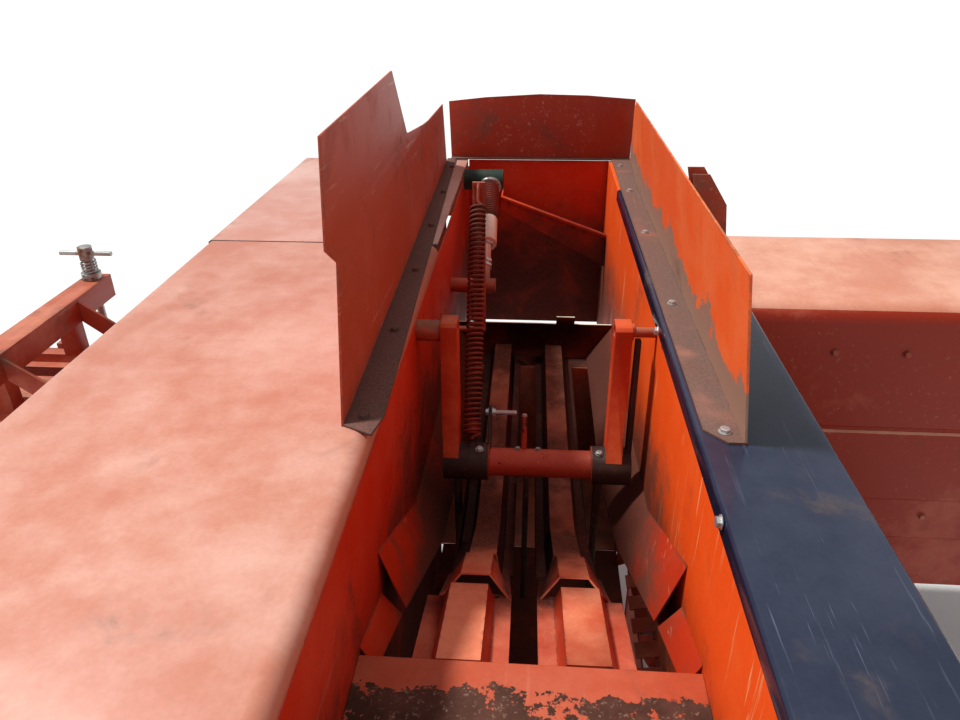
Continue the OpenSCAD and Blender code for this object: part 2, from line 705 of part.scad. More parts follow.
module front_beam() {
    x1 = wall_x + sheet;
    color(navy) place()
        plate_xz(right_end_y + sheet, beam_end_y - right_end_y - sheet)
            polygon([[wall_x - sheet, deck_z - 34], [wall_x, deck_z - 34], [wall_x, deck_z - sheet],
                     [wall_x + beam_w - sheet, deck_z - sheet], [wall_x + beam_w - sheet, deck_z - beam_depth],
                     [wall_x + beam_w, deck_z - beam_depth], [wall_x + beam_w, deck_z - 6],
                     [wall_x + beam_w - 6, deck_z], [wall_x - sheet + 5, deck_z], [wall_x - sheet, deck_z - 5]]);
}
front_guard_x = 317;
front_guard_y0 = -972;
front_guard_len = 1412;
front_far_len = 376;                         // upright part that runs on to the back guard
front_far_h = 196;
module front_guard() {
    root = sheet / 2;                        // both sheets stand in the flange's edge
    guard_end = front_guard_len + front_far_len;
    color(orange) place() translate([front_guard_x, front_guard_y0, deck_z]) {
        rotate([0, -guard_lean, 0]) plate_yz(0, sheet)
            polygon([[0, root], [front_guard_len, root], [front_guard_len, front_guard_h], [22, front_guard_h]]);
        translate([0, front_guard_len, 0]) rotate([0, 0, -2]) plate_yz(0, sheet)
            translate([-8, root]) square([front_far_len, front_far_h]);
        linear_extrude(sheet)
            polygon([[-24, 0], [6, 0], [6, front_guard_len], [18, guard_end], [-52, guard_end],
                     [-56, front_guard_len], [-56, 34]]);
    }
}

// Rear guard: one sheet with a joggle below its flap. It is drawn along its own foot line, which runs a
// little outwards, and its outline is [place along the foot line, height].
rear_guard_x = -301;
rear_guard_y0 = -960;
rear_guard_foot = 1735;                      // length of the guard along its foot
joggle = 12;                                 // the flap stands this far outside the guard
guard_skew = atan2(31, rear_guard_foot);
module rear_guard() {
    flap_z = rear_guard_h + 24;
    flange_end = left_end_y - guard_end_gap - rear_guard_y0;
    color(paint) place() translate([rear_guard_x, rear_guard_y0, deck_z]) rotate([0, 0, guard_skew]) {
        intersection() {
            translate([0, flange_end, 0]) rotate([90, 0, 0]) linear_extrude(flange_end)
                polygon([[-sheet, 0], [0, 0], [0, rear_guard_h], [-joggle, flap_z], [-joggle, flap_z + flap_h + 20],
                         [-joggle - sheet, flap_z + flap_h + 20], [-joggle - sheet, flap_z], [-sheet, rear_guard_h]]);
            plate_yz(-joggle - sheet - 1, joggle + sheet + 2)
                polygon([[0, 0], [rear_guard_foot, 0], [rear_guard_foot - 80, guard_far_h],
                         [1247, guard_far_h + 22], [920, flap_z - 4], [900, flap_z], [732, flap_z + flap_h],
                         [90, flap_z + flap_h - 6], [55, flap_z], [72, rear_guard_h]]);
        }
        linear_extrude(sheet)
            polygon([[0, 0], [48, -25], [60, 29], [30, flange_end], [0, flange_end]]);
    }
}
module back_guard() {
    h = back_guard_h - 12;
    foot = back_gap + guard_end_gap - fit;
    color(paint) place() translate([0, left_end_y + back_gap, deck_z]) {
        plate_xz(0, sheet)
            polygon([[-321, 0], [333, 0], [336, h + 3], [170, h + 15], [-1, h + 19], [-193, h + 8], [-326, h - 6]]);
        block([-321, -foot, 0], [333, sheet, sheet]);
    }
}

// Feeder fork: two arms on a pivot, a cross tube and three tines

arm_in = 166;
arm_out = 202;
tube_z = fork_z - fork_arm_len;
tube_y = fork_y - 20;
collar_d = cross_tube_d + 22;
tube_bare = [-98, 135];                      // the tube shows between the clamps at its two ends
fork_pin_d = 22;
strap_x = arm_out + 10;                      // strap between the right arm and the wall
strap_w = 12;
slats_half = slot_w / 2 + slat_w;            // half the width over both slats
tine_xs = [(feeder_mid - slats_half - strip_left) / 2, feeder_mid, (feeder_mid + slats_half + strip_right) / 2];
tine_w = 14;
module fork_frame() {
    color(orange) place() {
        for (x = [-arm_out, arm_in])
            plate_yz(x, arm_out - arm_in) difference() {
                union() {
                    polygon([[fork_y - 22, fork_z + 20], [fork_y + 22, fork_z + 20], [fork_y + 29, fork_z + 13],
                             [fork_y + 29, fork_z - 20], [tube_y + 35, tube_z], [tube_y - 35, tube_z],
                             [fork_y - 29, fork_z - 20], [fork_y - 29, fork_z + 13]]);
                    translate([tube_y, tube_z]) circle(d = 70);
                }
                translate([fork_y, fork_z]) circle(d = fork_pin_d + 2 * fit);
            }
        bar_x(-arm_in, arm_in, tube_y, tube_z, cross_tube_d);
        // clamps of the outer tines at both ends of the tube
        bar_x(-arm_out, tube_bare[0], tube_y, tube_z, collar_d);
        bar_x(tube_bare[1], strap_x + strap_w, tube_y, tube_z, collar_d);
        plate_yz(strap_x, strap_w)
            polygon([[fork_y - 9, fork_z - 18], [fork_y + 9, fork_z - 18], [tube_y + 15, tube_z], [tube_y - 15, tube_z]]);
        // lug that the tension spring hooks into
        block([spring_low[0] - 6, tube_y - 8, tube_z],
              [spring_low[0] + 6, tube_y + 22, spring_low[2] - spring_rod_d / 2 * sin(spring_tilt) - fit]);
    }
}
module fork_tines() {
    color(steel) place() for (i = [0:2])
        plate_yz(tine_xs[i] - tine_w / 2, tine_w) difference() {
            polygon([[tube_y - 30, tube_z - 20], [tube_y + 30, tube_z - 20],
                     [tube_y + 22, tube_z - 200], [tube_y + 2, fork_z - tine_reach],
                     [tube_y - 12, fork_z - tine_reach + 8], [tube_y - 22, tube_z - 200]]);
            // the middle tine sits on the tube, the outer ones on their clamps
            translate([tube_y, tube_z]) circle(d = (i == 1 ? cross_tube_d : collar_d) + 2 * fit);
        }
}

// Tension spring of the fork, from the hook on the cross tube up to its post

spring_top = [-150, -110, 1545];
spring_low = [-138, tube_y + 8, tube_z + 52];
coil_top = 46;                               // straight ends of the spring above and below its coil
coil_low = 14;
spring_d = 43;
wire_d = 7;
spring_rod_d = 9;                            // straight rods at the spring's two ends
spring_v = spring_low - spring_top;
spring_tilt = atan2(norm([spring_v[0], spring_v[1]]), -spring_v[2]);
module spring_along() {
    turn = atan2(spring_v[1], spring_v[0]);
    translate(spring_top) rotate([0, 0, turn]) rotate([0, -spring_tilt, 0]) rotate([180, 0, 0]) children();
}
module fork_spring() {
    len = norm(spring_v);
    turns = 48;
    color(paint) place() spring_along() {
        coil = len - coil_top - coil_low;
        translate([0, 0, coil_top]) rotate_extrude($fn = 32) union() {
            square([spring_d / 2 - wire_d * 0.55, coil]);
            for (i = [0:turns - 1])
                translate([spring_d / 2 - wire_d / 2, (i + 0.5) * coil / turns]) circle(d = wire_d, $fn = 16);
        }
        cylinder(h = coil_top, d = spring_rod_d, $fn = 24);
        translate([0, 0, len - coil_low]) cylinder(h = coil_low, d = spring_rod_d, $fn = 24);
    }
}
// Pieces on the channel's walls that carry the fork and its spring, and the sprung strut
strut_far = [-165, 640, 1372];
strut_near = [-150, 150, 1180];
post_y = spring_top[1] + 16;
module spring_post() {
    block([-wall_x, post_y - 10, 1150], [spring_top[0] + 16, post_y + 8, 1158]);
    block([spring_top[0] - 16, post_y, 1150], [spring_top[0] + 16, post_y + 8, spring_top[2] + 14]);
    bar_y(spring_top[1] + 4, post_y, spring_top[0], spring_top[2] + 2, 12);
}
module strut() {
    v = strut_near - strut_far;
    len = norm(v);
    translate(strut_far) rotate([0, 0, atan2(v[1], v[0])]) rotate([0, acos(v[2] / len), 0]) {
        cylinder(h = 0.42 * len, d = 46);
        translate([0, 0, 0.42 * len]) cylinder(h = 0.22 * len, d = 58);
        translate([0, 0, 0.64 * len]) cylinder(h = 0.36 * len, d = 24);
    }
    bar_x(-wall_x, -120, strut_far[1], strut_far[2], 70);
    bar_x(-wall_x, -120, strut_near[1], strut_near[2], 44);
}
module feeder_mounts() {
    color(paint) place() {
        spring_post();
        strut();
        // pivot pins of the fork with their washers
        bar_x(arm_in + 4, wall_x, fork_y, fork_z, fork_pin_d);
        bar_x(-wall_x, -arm_in - 4, fork_y, fork_z, fork_pin_d);
        bar_x(arm_out + fit, arm_out + 4, fork_y, fork_z, fork_pin_d + 14);
        bar_x(-wall_x, -arm_out - fit, fork_y, fork_z - 8, 46);
    }
}

// Axles and road wheels

beam_z = 630;
hub_bore = 58;
module axle(side, wheel_y) {
    y_in = side * (side_out + fit);
    y_leg = wheel_y - side * 160;
    y0 = min(y_in, y_leg);
    y1 = max(y_in, y_leg);
    block([axle_x - 45, y0, beam_z], [axle_x + 45, y1, beam_z + 90]);
    block([axle_x - 90, min(y_in, y_in + side * 10), beam_z - 40], [axle_x + 90, max(y_in, y_in + side * 10), beam_z + 110]);
    block([axle_x - 45, min(y_leg, y_leg - side * 60), tyre_r - 45], [axle_x + 45, max(y_leg, y_leg - side * 60), beam_z]);
    bar_y(min(y_leg, wheel_y + side * 50), max(y_leg, wheel_y + side * 50), axle_x, tyre_r, hub_bore - 2 * fit);
}
module axle_right() {
    color(paint) place() axle(-1, right_wheel_y);
}
module axle_left() {
    color(paint) place() axle(1, left_wheel_y);
}
module tyre(w) {
    color(black) rotate([90, 0, 0]) rotate_extrude($fn = 72)
        polygon([[rim_r, -w * 0.40], [rim_r + 18, -w * 0.47], [rim_r + 70, -w * 0.5], [tyre_r - 52, -w * 0.495],
                 [tyre_r - 16, -w * 0.43], [tyre_r - 6, -w * 0.30],
                 [tyre_r - 4, -w * 0.20], [tyre_r - 12, -w * 0.19], [tyre_r - 12, -w * 0.15], [tyre_r, -w * 0.14],
                 [tyre_r, -w * 0.03], [tyre_r - 10, -w * 0.02], [tyre_r - 10, w * 0.02], [tyre_r, w * 0.03],
                 [tyre_r, w * 0.14], [tyre_r - 12, w * 0.15], [tyre_r - 12, w * 0.19], [tyre_r - 4, w * 0.20],
                 [tyre_r - 6, w * 0.30], [tyre_r - 16, w * 0.43], [tyre_r - 52, w * 0.495], [rim_r + 70, w * 0.5],
                 [rim_r + 18, w * 0.47], [rim_r, w * 0.40]]);
}
// Rim, drawn about its axis, with its dish towards +Z
module rim(w) {
    rotate_extrude($fn = 72)
        polygon([[rim_r - 6, -w * 0.40], [rim_r, -w * 0.40], [rim_r, w * 0.40], [rim_r - 6, w * 0.40],
                 [rim_r - 24, w * 0.30], [rim_r - 30, 20], [70, 34], [70, 60], [54, 66], [hub_bore / 2, 66], [hub_bore / 2, 24],
                 [rim_r - 40, 10], [rim_r - 30, -w * 0.30]]);
    for (i = [0:4]) rotate([0, 0, i * 72]) translate([54 + 50, 0, 18]) cylinder(h = 20, d = 24, $fn = 24);
}
module tyre_right() {
    place() translate([axle_x, right_wheel_y, tyre_r]) tyre(tyre_w);
}
module tyre_left() {
    place() translate([axle_x, left_wheel_y, tyre_r]) tyre(tyre_w);
}
module rim_right() {
    color(faded) place() translate([axle_x, right_wheel_y, tyre_r]) rotate([90, 0, 0]) rim(tyre_w);
}
module rim_left() {
    color(faded) place() translate([axle_x, left_wheel_y, tyre_r]) rotate([-90, 0, 0]) rim(tyre_w);
}

// Pick-up

reel_shaft_d = 44;
bar_r = 140;                                 // the tine bars run on this radius
rear_bar = [335, 516];                       // cross bars that the bands are fixed to
low_bar = [reel_x - 226, reel_z - band_r - 2];
sheet_x = 292;                               // closing sheet behind the reel
module pickup_frame() {
    color(paint) place() {
        for (y = [pickup_y0, pickup_y1 - pickup_side]) plate_xz(y, pickup_side) difference() {
            union() {
                translate([reel_x, reel_z]) circle(r = band_r - 4);
                polygon([[low_bar[0] - 14, low_bar[1] - 6], [reel_x, reel_z - band_r + 10],
                         [reel_x + 40, reel_z + 205], [lift_x - 10, lift_z + 34],
                         [lift_x - 34, lift_z - 10], [sheet_x - 4, 480], [sheet_x - 4, 300]]);
            }
            translate([reel_x, reel_z]) circle(d = reel_shaft_d + 2 * fit);
            translate([lift_x, lift_z]) circle(d = lift_pin_d + 2 * fit);
        }
        // closing sheet behind the reel
        block([sheet_x, pickup_y0 + pickup_side, 300], [sheet_x + 4, pickup_y1 - pickup_side, 480]);
        // arm of the gauge wheel
        block([reel_x - 20, pickup_y0 - 16, gauge_r + 20], [reel_x + 20, pickup_y0, reel_z + 60]);
        bar_y(gauge_y - gauge_w / 2 + 4, pickup_y0 - 10, reel_x, gauge_r + 40, gauge_axle_d);
    }
}
function on_band(r, a) = [reel_x + r * cos(a), reel_z + r * sin(a)];
module pickup_bands() {
    band_w = tine_pitch - 30;
    y_mid = (pickup_y0 + pickup_y1) / 2;
    t = 3;
    low_end = [low_bar[0], reel_z - band_r];
    // the upper tail leaves the arc where a line from its end just touches it
    tail = [lift_x - 36, rear_bar[1]];
    reach = norm(tail - [reel_x, reel_z]);
    lift_off = atan2(tail[1] - reel_z, tail[0] - reel_x) - acos(band_r / reach);
    out = t * [cos(lift_off), sin(lift_off)];
    steps = 24;
    sweep = [for (i = [0:steps]) -90 + (lift_off + 90) * i / steps];
    outline = concat([low_end, low_end - [0, t]], [for (a = sweep) on_band(band_r + t, a)],
                     [tail + out, tail], [for (i = [0:steps]) on_band(band_r, sweep[steps - i])]);
    color(faded) place() {
        for (i = [0:tine_count])
            plate_xz(y_mid + (i - tine_count / 2) * tine_pitch - band_w / 2, band_w) polygon(outline);
        bar_y(pickup_y0 + pickup_side, pickup_y1 - pickup_side, rear_bar[0], rear_bar[1], 30);
        bar_y(pickup_y0 + pickup_side, pickup_y1 - pickup_side, low_bar[0], low_bar[1], 24);
    }
}
module pickup_reel() {
    y_mid = (pickup_y0 + pickup_y1) / 2;
    half = (pickup_y1 - pickup_y0) / 2 - 17;
    color(steel) place() translate([reel_x, y_mid, reel_z]) {
        translate([0, half + 16, 0]) rotate([90, 0, 0]) cylinder(h = 2 * half + 32, d = reel_shaft_d);
        for (y = [-half, -4, half - 8])
            translate([0, y + 8, 0]) rotate([90, 0, 0]) cylinder(h = 8, r = bar_r + 20);
        for (k = [0:bar_count - 1]) rotate([0, k * 360 / bar_count, 0]) {
            translate([0, half, bar_r]) rotate([90, 0, 0]) cylinder(h = 2 * half, d = 30, $fn = 24);
            for (i = [0:tine_count - 1])
                translate([-3, (i - (tine_count - 1) / 2) * tine_pitch - 3, bar_r])
                    cube([6, 6, tine_tip_r - bar_r]);
        }
    }
}
module wind_guard() {
    y0 = pickup_y0 + pickup_side;
    y1 = pickup_y1 - pickup_side;
    rail_x = reel_x + 56;
    rail_z = reel_z + 338;
    color(paint) place() {
        for (y = [y0, y1 - 12])
            plate_xz(y, 12) polygon([[reel_x - 90, reel_z + 190], [reel_x - 40, reel_z + 190],
                                     [rail_x + 14, rail_z - 6], [rail_x - 14, rail_z + 10]]);
        bar_y(y0, y1, rail_x, rail_z, 34);
        for (i = [0:13])
            translate([rail_x, y0 + 70 + i * 108, rail_z]) rotate([0, -108, 0])
                cylinder(h = 300, d = 12, $fn = 24);
    }
}
gauge_axle_d = 24;
module gauge_wheel() {
    bore = gauge_axle_d / 2 + fit;
    color(black) place() translate([reel_x, gauge_y, gauge_r + 40]) rotate([90, 0, 0]) rotate_extrude($fn = 64)
        polygon([[bore, -34], [40, -34], [44, -8], [gauge_r - 60, -8], [gauge_r - 56, -gauge_w / 2 + 10],
                 [gauge_r - 20, -gauge_w / 2], [gauge_r, -gauge_w / 3], [gauge_r, gauge_w / 3],
                 [gauge_r - 20, gauge_w / 2], [gauge_r - 56, gauge_w / 2 - 10], [gauge_r - 60, 8], [44, 8],
                 [40, 34], [bore, 34]]);
}

// Needles on their yoke under the chamber

yoke_x = -840;
yoke_z = 680;
yoke_arm_y = side_out + 56;
module needle_yoke() {
    rest = 112;
    color(paint) place() translate([yoke_x, 0, yoke_z]) {
        for (side = [-1, 1]) {
            y0 = side > 0 ? yoke_arm_y : -yoke_arm_y - 14;
            translate([0, y0 + 14, 0]) rotate([90, 0, 0]) difference() {
                hull() {
                    cylinder(h = 14, d = 80);
                    rotate([0, 0, -rest]) translate([needle_r, 0, 0]) cylinder(h = 14, d = 56);
                }
            }
            translate([0, side * needle_y - 6, 0]) rotate([-90, 0, 0]) rotate([0, 0, 36])
                rotate_extrude(angle = rest - 36, $fn = 96) translate([needle_r - 14, 0]) square([28, 12]);
        }
        rotate([0, rest, 0]) translate([needle_r, 0, 0]) rotate([90, 0, 0]) translate([0, 0, -yoke_arm_y])
            cylinder(h = 2 * yoke_arm_y, d = 48);
    }
}

// Bale tension frame across the rear of the chamber

tension_x = -1530;
tension_y = 365;
tension_rod_d = 26;
tension_top = chamber_top + plate + 140;     // underside of the upper beam
tension_low = chamber_z - plate - 130;       // top of the lower beam
tension_beam_h = 80;
module tension_frame() {
    half = tension_y + 45;
    color(paint) place() difference() {
        union() {
            for (z = [tension_top, tension_low - tension_beam_h])
                block([tension_x - 40, -half, z], [tension_x + 40, half, z + tension_beam_h]);
            for (side = [-1, 1]) {
                block([tension_x - 30, side * 180 - 24, chamber_top + plate + 30],
                      [tension_x + 30, side * 180 + 24, tension_top]);
                block([tension_x - 30, side * 180 - 24, tension_low],
                      [tension_x + 30, side * 180 + 24, chamber_z - plate - 30]);
                plate_xz(side * 195 - 5, 10)
                    polygon([[tension_x + 40, tension_top], [tension_x + 40, tension_top + 70],
                             [tension_x + 250, chamber_top + plate + 60], [tension_x + 250, chamber_top + plate + 30],
                             [tension_x + 180, chamber_top + plate + 30]]);
            }
        }
        for (side = [-1, 1])
            bar_z(0, deck_z, tension_x, side * tension_y, tension_rod_d + 2 * fit);
    }
}
// Screws that draw the two beams together, each with its spring cup, head and bar
module tension_screws() {
    top = tension_top + tension_beam_h;
    color(steel) place() for (side = [-1, 1]) {
        y = side * tension_y;
        bar_z(tension_low - tension_beam_h - 60, top + 110, tension_x, y, tension_rod_d);
        bar_z(tension_low - tension_beam_h - 40, tension_low - tension_beam_h - fit, tension_x, y, 46);
        bar_z(top + fit, top + 24, tension_x, y, 64);
        bar_z(top + 70, top + 116, tension_x, y, 46);
        bar_x(tension_x - 90, tension_x + 90, y, top + 92, 16);
    }
}

// Chute that the bales leave by

chute_side = 36;                             // height of the chute's two rails, which clear the roof as it folds up
module bale_chute() {
    x0 = chute_end_x;
    x1 = chute_hinge_x - chute_barrel_d / 2 - 3;
    half = side_y - 20;
    color(paint) place() {
        block([x0, -half, chamber_z - 12], [x1, half, chamber_z - 8]);
        for (side = [-1, 1])
            plate_xz(side > 0 ? half - 4 : -half, 4)
                polygon([[x0, chamber_z - 12], [x1, chamber_z - 12], [x1 - 54, chamber_z - 12 + chute_side],
                         [x0 + 40, chamber_z - 12 + chute_side], [x0, chamber_z + 10]]);
        difference() {
            for (y = [-140, 80 + fit]) {
                bar_y(y, y + 60 - fit, chute_hinge_x, chute_hinge_z, chute_barrel_d);
                block([x1 - 30, y, chute_hinge_z - 4], [chute_hinge_x, y + 60 - fit, chamber_z - 10]);
            }
            bar_y(-200, 200, chute_hinge_x, chute_hinge_z, 10 + 2 * fit);
        }
        bar_y(-half, half, x0 + 14, chamber_z - 24, 26);
        // stop that rests against the chamber's end
        for (y = [-190, 170]) block([x1 - 60, y, chamber_z - 40], [chamber_rear_x - fit, y + 20, chamber_z - 12]);
    }
}

// Drawbar, hitch eye and jack

jack_at = 470;
jack_side = 105;
module along_drawbar() {
    translate([pivot_x, pivot_y, pivot_z]) rotate([0, 0, drawbar_angle]) children();
}
module drawbar() {
    t = drawbar_tube;
    color(paint) place() along_drawbar() {
        difference() {
            union() {
                block([60, -t / 2, -t / 2], [drawbar_len - 90, t / 2, t / 2]);
                hull() {
                    bar_z(-t / 2, t / 2, 0, 0, boss_d);
                    block([60, -t / 2, -t / 2], [64, t / 2, t / 2]);
                }
            }
            bar_z(-t, t, 0, 0, pin_d + 2 * fit);
        }
        difference() {
            union() {
                bar_z(-130, 330, jack_at, -jack_side, 68);
                block([jack_at - 40, -jack_side, -30], [jack_at + 40, -t / 2, 30]);
            }
            bar_z(-131, 300, jack_at, -jack_side, jack_leg_d + 2 * fit);
        }
        bar_z(330, 350, jack_at, -jack_side, 40);
        bar_y(-jack_side - 12, -jack_side + 130, jack_at, 342, 14);
        bar_z(330, 420, jack_at, -jack_side + 124, 22);
    }
}
module hitch_eye() {
    color(steel) place() along_drawbar() difference() {
        union() {
            bar_z(-18, 18, drawbar_len, 0, eye_d);
            block([drawbar_len - 90, -42, -18], [drawbar_len - 20, 42, 18]);
            block([drawbar_len - 90, -48, -48], [drawbar_len - 84, 48, 48]);
        }
        bar_z(-30, 30, drawbar_len, 0, eye_bore);
    }
}
module jack_leg() {
    color(steel) place() along_drawbar() {
        bar_z(-pivot_z + 12, 45, jack_at, -jack_side, jack_leg_d);
        bar_z(-pivot_z, -pivot_z + 12, jack_at, -jack_side, jack_foot_d);
    }
}

// Lever bracket on the housing's left upper edge

module lever_bracket() {
    color(paint) place() {
        block([500, housing_w / 2, 1230], [590, housing_w / 2 + 8, 1300]);
        for (y = [housing_w / 2 + 8, housing_w / 2 + 96])
            plate_xz(y, 6) polygon([[515, 1240], [580, 1240], [560, 1400], [500, 1490], [450, 1490], [470, 1400]]);
        bar_y(housing_w / 2 + 14, housing_w / 2 + 96, 500, 1440, 16);
        bar_y(housing_w / 2 + 14, housing_w / 2 + 96, 548, 1270, 16);
    }
}

chamber_floor();
chamber_roof();
chamber_left_side();
chamber_right_side();
crank_housing();
plunger();
gearbox();
flywheel();
flywheel_guard();
hitch_bracket();
channel_rear_wall();
channel_front_wall();
channel_cover();
end_plate();
pickup_brackets();
feeder_floor();
feeder_slats();
wall_strips();
far_plate();
deck();
knotter_deck();
twine_box();
twine_door();
knotter_door();
knotters();
front_beam();
front_guard();
rear_guard();
back_guard();
fork_frame();
fork_tines();
fork_spring();
feeder_mounts();
axle_right();
axle_left();
tyre_right();
rim_right();
tyre_left();
rim_left();
pickup_frame();
pickup_bands();
pickup_reel();
wind_guard();
gauge_wheel();
needle_yoke();
tension_frame();
tension_screws();
bale_chute();
drawbar();
hitch_eye();
jack_leg();
lever_bracket();
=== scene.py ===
import json
import math

import bpy
from mathutils import Matrix, Vector


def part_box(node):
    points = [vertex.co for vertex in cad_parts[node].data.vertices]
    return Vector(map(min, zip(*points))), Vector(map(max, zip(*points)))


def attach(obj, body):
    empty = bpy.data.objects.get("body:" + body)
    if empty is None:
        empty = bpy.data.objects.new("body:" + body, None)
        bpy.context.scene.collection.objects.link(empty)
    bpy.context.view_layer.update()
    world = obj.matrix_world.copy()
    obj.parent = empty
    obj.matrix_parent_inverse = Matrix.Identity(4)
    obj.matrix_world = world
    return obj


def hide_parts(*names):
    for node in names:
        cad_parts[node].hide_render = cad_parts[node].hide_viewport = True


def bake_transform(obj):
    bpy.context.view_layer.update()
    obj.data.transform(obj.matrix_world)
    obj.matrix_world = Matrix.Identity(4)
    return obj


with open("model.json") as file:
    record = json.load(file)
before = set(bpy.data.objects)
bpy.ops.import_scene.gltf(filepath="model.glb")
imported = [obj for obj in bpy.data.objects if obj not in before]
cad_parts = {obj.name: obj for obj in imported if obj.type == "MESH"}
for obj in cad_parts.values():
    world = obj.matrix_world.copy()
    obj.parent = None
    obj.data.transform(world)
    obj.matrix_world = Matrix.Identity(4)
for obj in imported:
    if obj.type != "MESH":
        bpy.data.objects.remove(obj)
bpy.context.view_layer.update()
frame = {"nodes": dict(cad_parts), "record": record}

nodes = frame["nodes"]


# Small helpers for working on one object at a time

def pick(piece):
    bpy.ops.object.select_all(action="DESELECT")
    piece.select_set(True)
    bpy.context.view_layer.objects.active = piece


def editAll(piece):
    pick(piece)
    bpy.ops.object.mode_set(mode="EDIT")
    bpy.ops.mesh.select_all(action="SELECT")


def objectMode():
    bpy.ops.object.mode_set(mode="OBJECT")


def smooth(piece, angle=32):
    pick(piece)
    bpy.ops.object.shade_smooth_by_angle(angle=math.radians(angle))


def applyAll(piece):
    pick(piece)
    for modifier in list(piece.modifiers):
        bpy.ops.object.modifier_apply(modifier=modifier.name)


# Camera, light and floor

view = {
    "eye": (-0.0041, -1.329, 2.05),
    "turn": 4.4,          # degrees to the left of straight across the machine
    "tilt": 28.5,         # degrees below level
    "roll": -0.5,
    "lens": 27.75,
    "sensor": 36,
    "reach": 400,
}


def addCamera():
    bpy.ops.object.camera_add()
    camera = bpy.context.object
    camera.name = "photoCamera"
    camera.data.lens = view["lens"]
    camera.data.sensor_width = view["sensor"]
    camera.data.clip_end = view["reach"]
    turn = Matrix.Rotation(math.radians(view["turn"]), 4, "Z")
    tilt = Matrix.Rotation(math.radians(90 - view["tilt"]), 4, "X")
    roll = Matrix.Rotation(math.radians(view["roll"]), 4, "Z")
    camera.matrix_world = Matrix.Translation(view["eye"]) @ turn @ tilt @ roll
    bpy.context.scene.camera = camera


light = {
    "sunFrom": (-0.50, 0.10, 0.84),   # high up behind the machine and a little to its left
    "sunStrength": 3.45,
    "sunAngle": 7.0,
    "skyStrength": 0.46,
    "skyColour": (0.93, 0.96, 1.0, 1),
}

ground = {"radius": 90, "sides": 96, "colour": (0.80, 0.79, 0.76, 1), "roughness": 0.9}


def addLight():
    bpy.ops.object.light_add(type="SUN")
    sun = bpy.context.object
    sun.name = "softKey"
    sun.data.energy = light["sunStrength"]
    sun.data.angle = math.radians(light["sunAngle"])
    sun.rotation_euler = Vector(light["sunFrom"]).to_track_quat("Z", "Y").to_euler()
    world = bpy.data.worlds.new("studio")
    world.use_nodes = True
    bpy.context.scene.world = world
    background = world.node_tree.nodes["Background"]
    background.inputs["Color"].default_value = light["skyColour"]
    background.inputs["Strength"].default_value = light["skyStrength"]
    bpy.context.scene.view_settings.view_transform = "Standard"


def addFloor():
    bpy.ops.mesh.primitive_circle_add(vertices=ground["sides"], radius=ground["radius"], fill_type="NGON")
    floor = bpy.context.object
    floor.name = "floor"
    material = bpy.data.materials.new("paleFloor")
    material.use_nodes = True
    shader = material.node_tree.nodes["Principled BSDF"]
    shader.inputs["Base Color"].default_value = ground["colour"]
    shader.inputs["Roughness"].default_value = ground["roughness"]
    floor.data.materials.append(material)


# Shader building

def put(tree, kind, **settings):
    node = tree.nodes.new(kind)
    for name, value in settings.items():
        if name.startswith("in_"):
            key = name[3:]
            node.inputs[int(key) if key.isdigit() else key].default_value = value
        else:
            setattr(node, name, value)
    return node


def mixColour(tree, factor, first, second, blend="MIX"):
    node = put(tree, "ShaderNodeMix", data_type="RGBA", blend_type=blend)
    for socket, value in ((node.inputs[0], factor), (node.inputs[6], first), (node.inputs[7], second)):
        if hasattr(value, "links"):
            tree.links.new(value, socket)
        else:
            socket.default_value = value
    return node.outputs[2]


def maths(tree, operation, first, second=0.0, third=0.0, clamp=False):
    node = put(tree, "ShaderNodeMath", operation=operation, use_clamp=clamp)
    for socket, value in zip(node.inputs, (first, second, third)):
        if hasattr(value, "links"):
            tree.links.new(value, socket)
        else:
            socket.default_value = value
    return node.outputs[0]


def ramp(tree, value, low, high):
    node = put(tree, "ShaderNodeMapRange", interpolation_type="SMOOTHSTEP")
    tree.links.new(value, node.inputs["Value"])
    node.inputs["From Min"].default_value = low
    node.inputs["From Max"].default_value = high
    return node.outputs["Result"]


# Noise patterns: waves per metre, detail, roughness and distortion

patterns = {
    "broadBlotch": (1.7, 4, 0.6, 0.6), "smallBlotch": (11.0, 5, 0.65, 0.0), "fineSpeck": (140.0, 2, 0.6, 0.0),
    "coarseFlake": (7.0, 6, 0.68, 0.0), "gritFlake": (46.0, 4, 0.7, 0.0),
    "rubbedLine": (1.0, 4, 0.75, 0.3), "rubbedPlace": (3.1, 3, 0.5, 0.0),
    "rustBloom": (9.0, 5, 0.7, 0.0), "rustPit": (120.0, 3, 0.7, 0.0),
    "dustCloud": (5.0, 5, 0.65, 0.4), "dustDot": (210.0, 2, 0.5, 0.0),
    "primerEdge": (8.0, 7, 0.66, 0.5), "rustEdge": (13.0, 6, 0.7, 0.0),
    "steelCloud": (14.0, 8, 0.68, 0.0),
    "rubberShade": (30.0, 5, 0.6, 0.0), "rubberGrain": (160.0, 4, 0.6, 0.0),
}


def noise(tree, vector, pattern):
    scale, detail, rough, lean = patterns[pattern]
    node = put(tree, "ShaderNodeTexNoise", in_Scale=scale, in_Detail=detail, in_Roughness=rough,
               in_Distortion=lean)
    tree.links.new(vector, node.inputs["Vector"])
    return node.outputs["Fac"]


def weigh(tree, first, second, share):
    return maths(tree, "MULTIPLY_ADD", first, share, maths(tree, "MULTIPLY", second, 1 - share))


def newGroup(name, inputs, outputs):
    group = bpy.data.node_groups.new(name, "ShaderNodeTree")
    kinds = {"c": "NodeSocketColor", "f": "NodeSocketFloat", "v": "NodeSocketVector"}
    for label, kind, value in inputs:
        socket = group.interface.new_socket(name=label, in_out="INPUT", socket_type=kinds[kind])
        if value is not None:
            socket.default_value = value
    for label, kind in outputs:
        group.interface.new_socket(name=label, in_out="OUTPUT", socket_type=kinds[kind])
    return group, put(group, "NodeGroupInput").outputs, put(group, "NodeGroupOutput").inputs


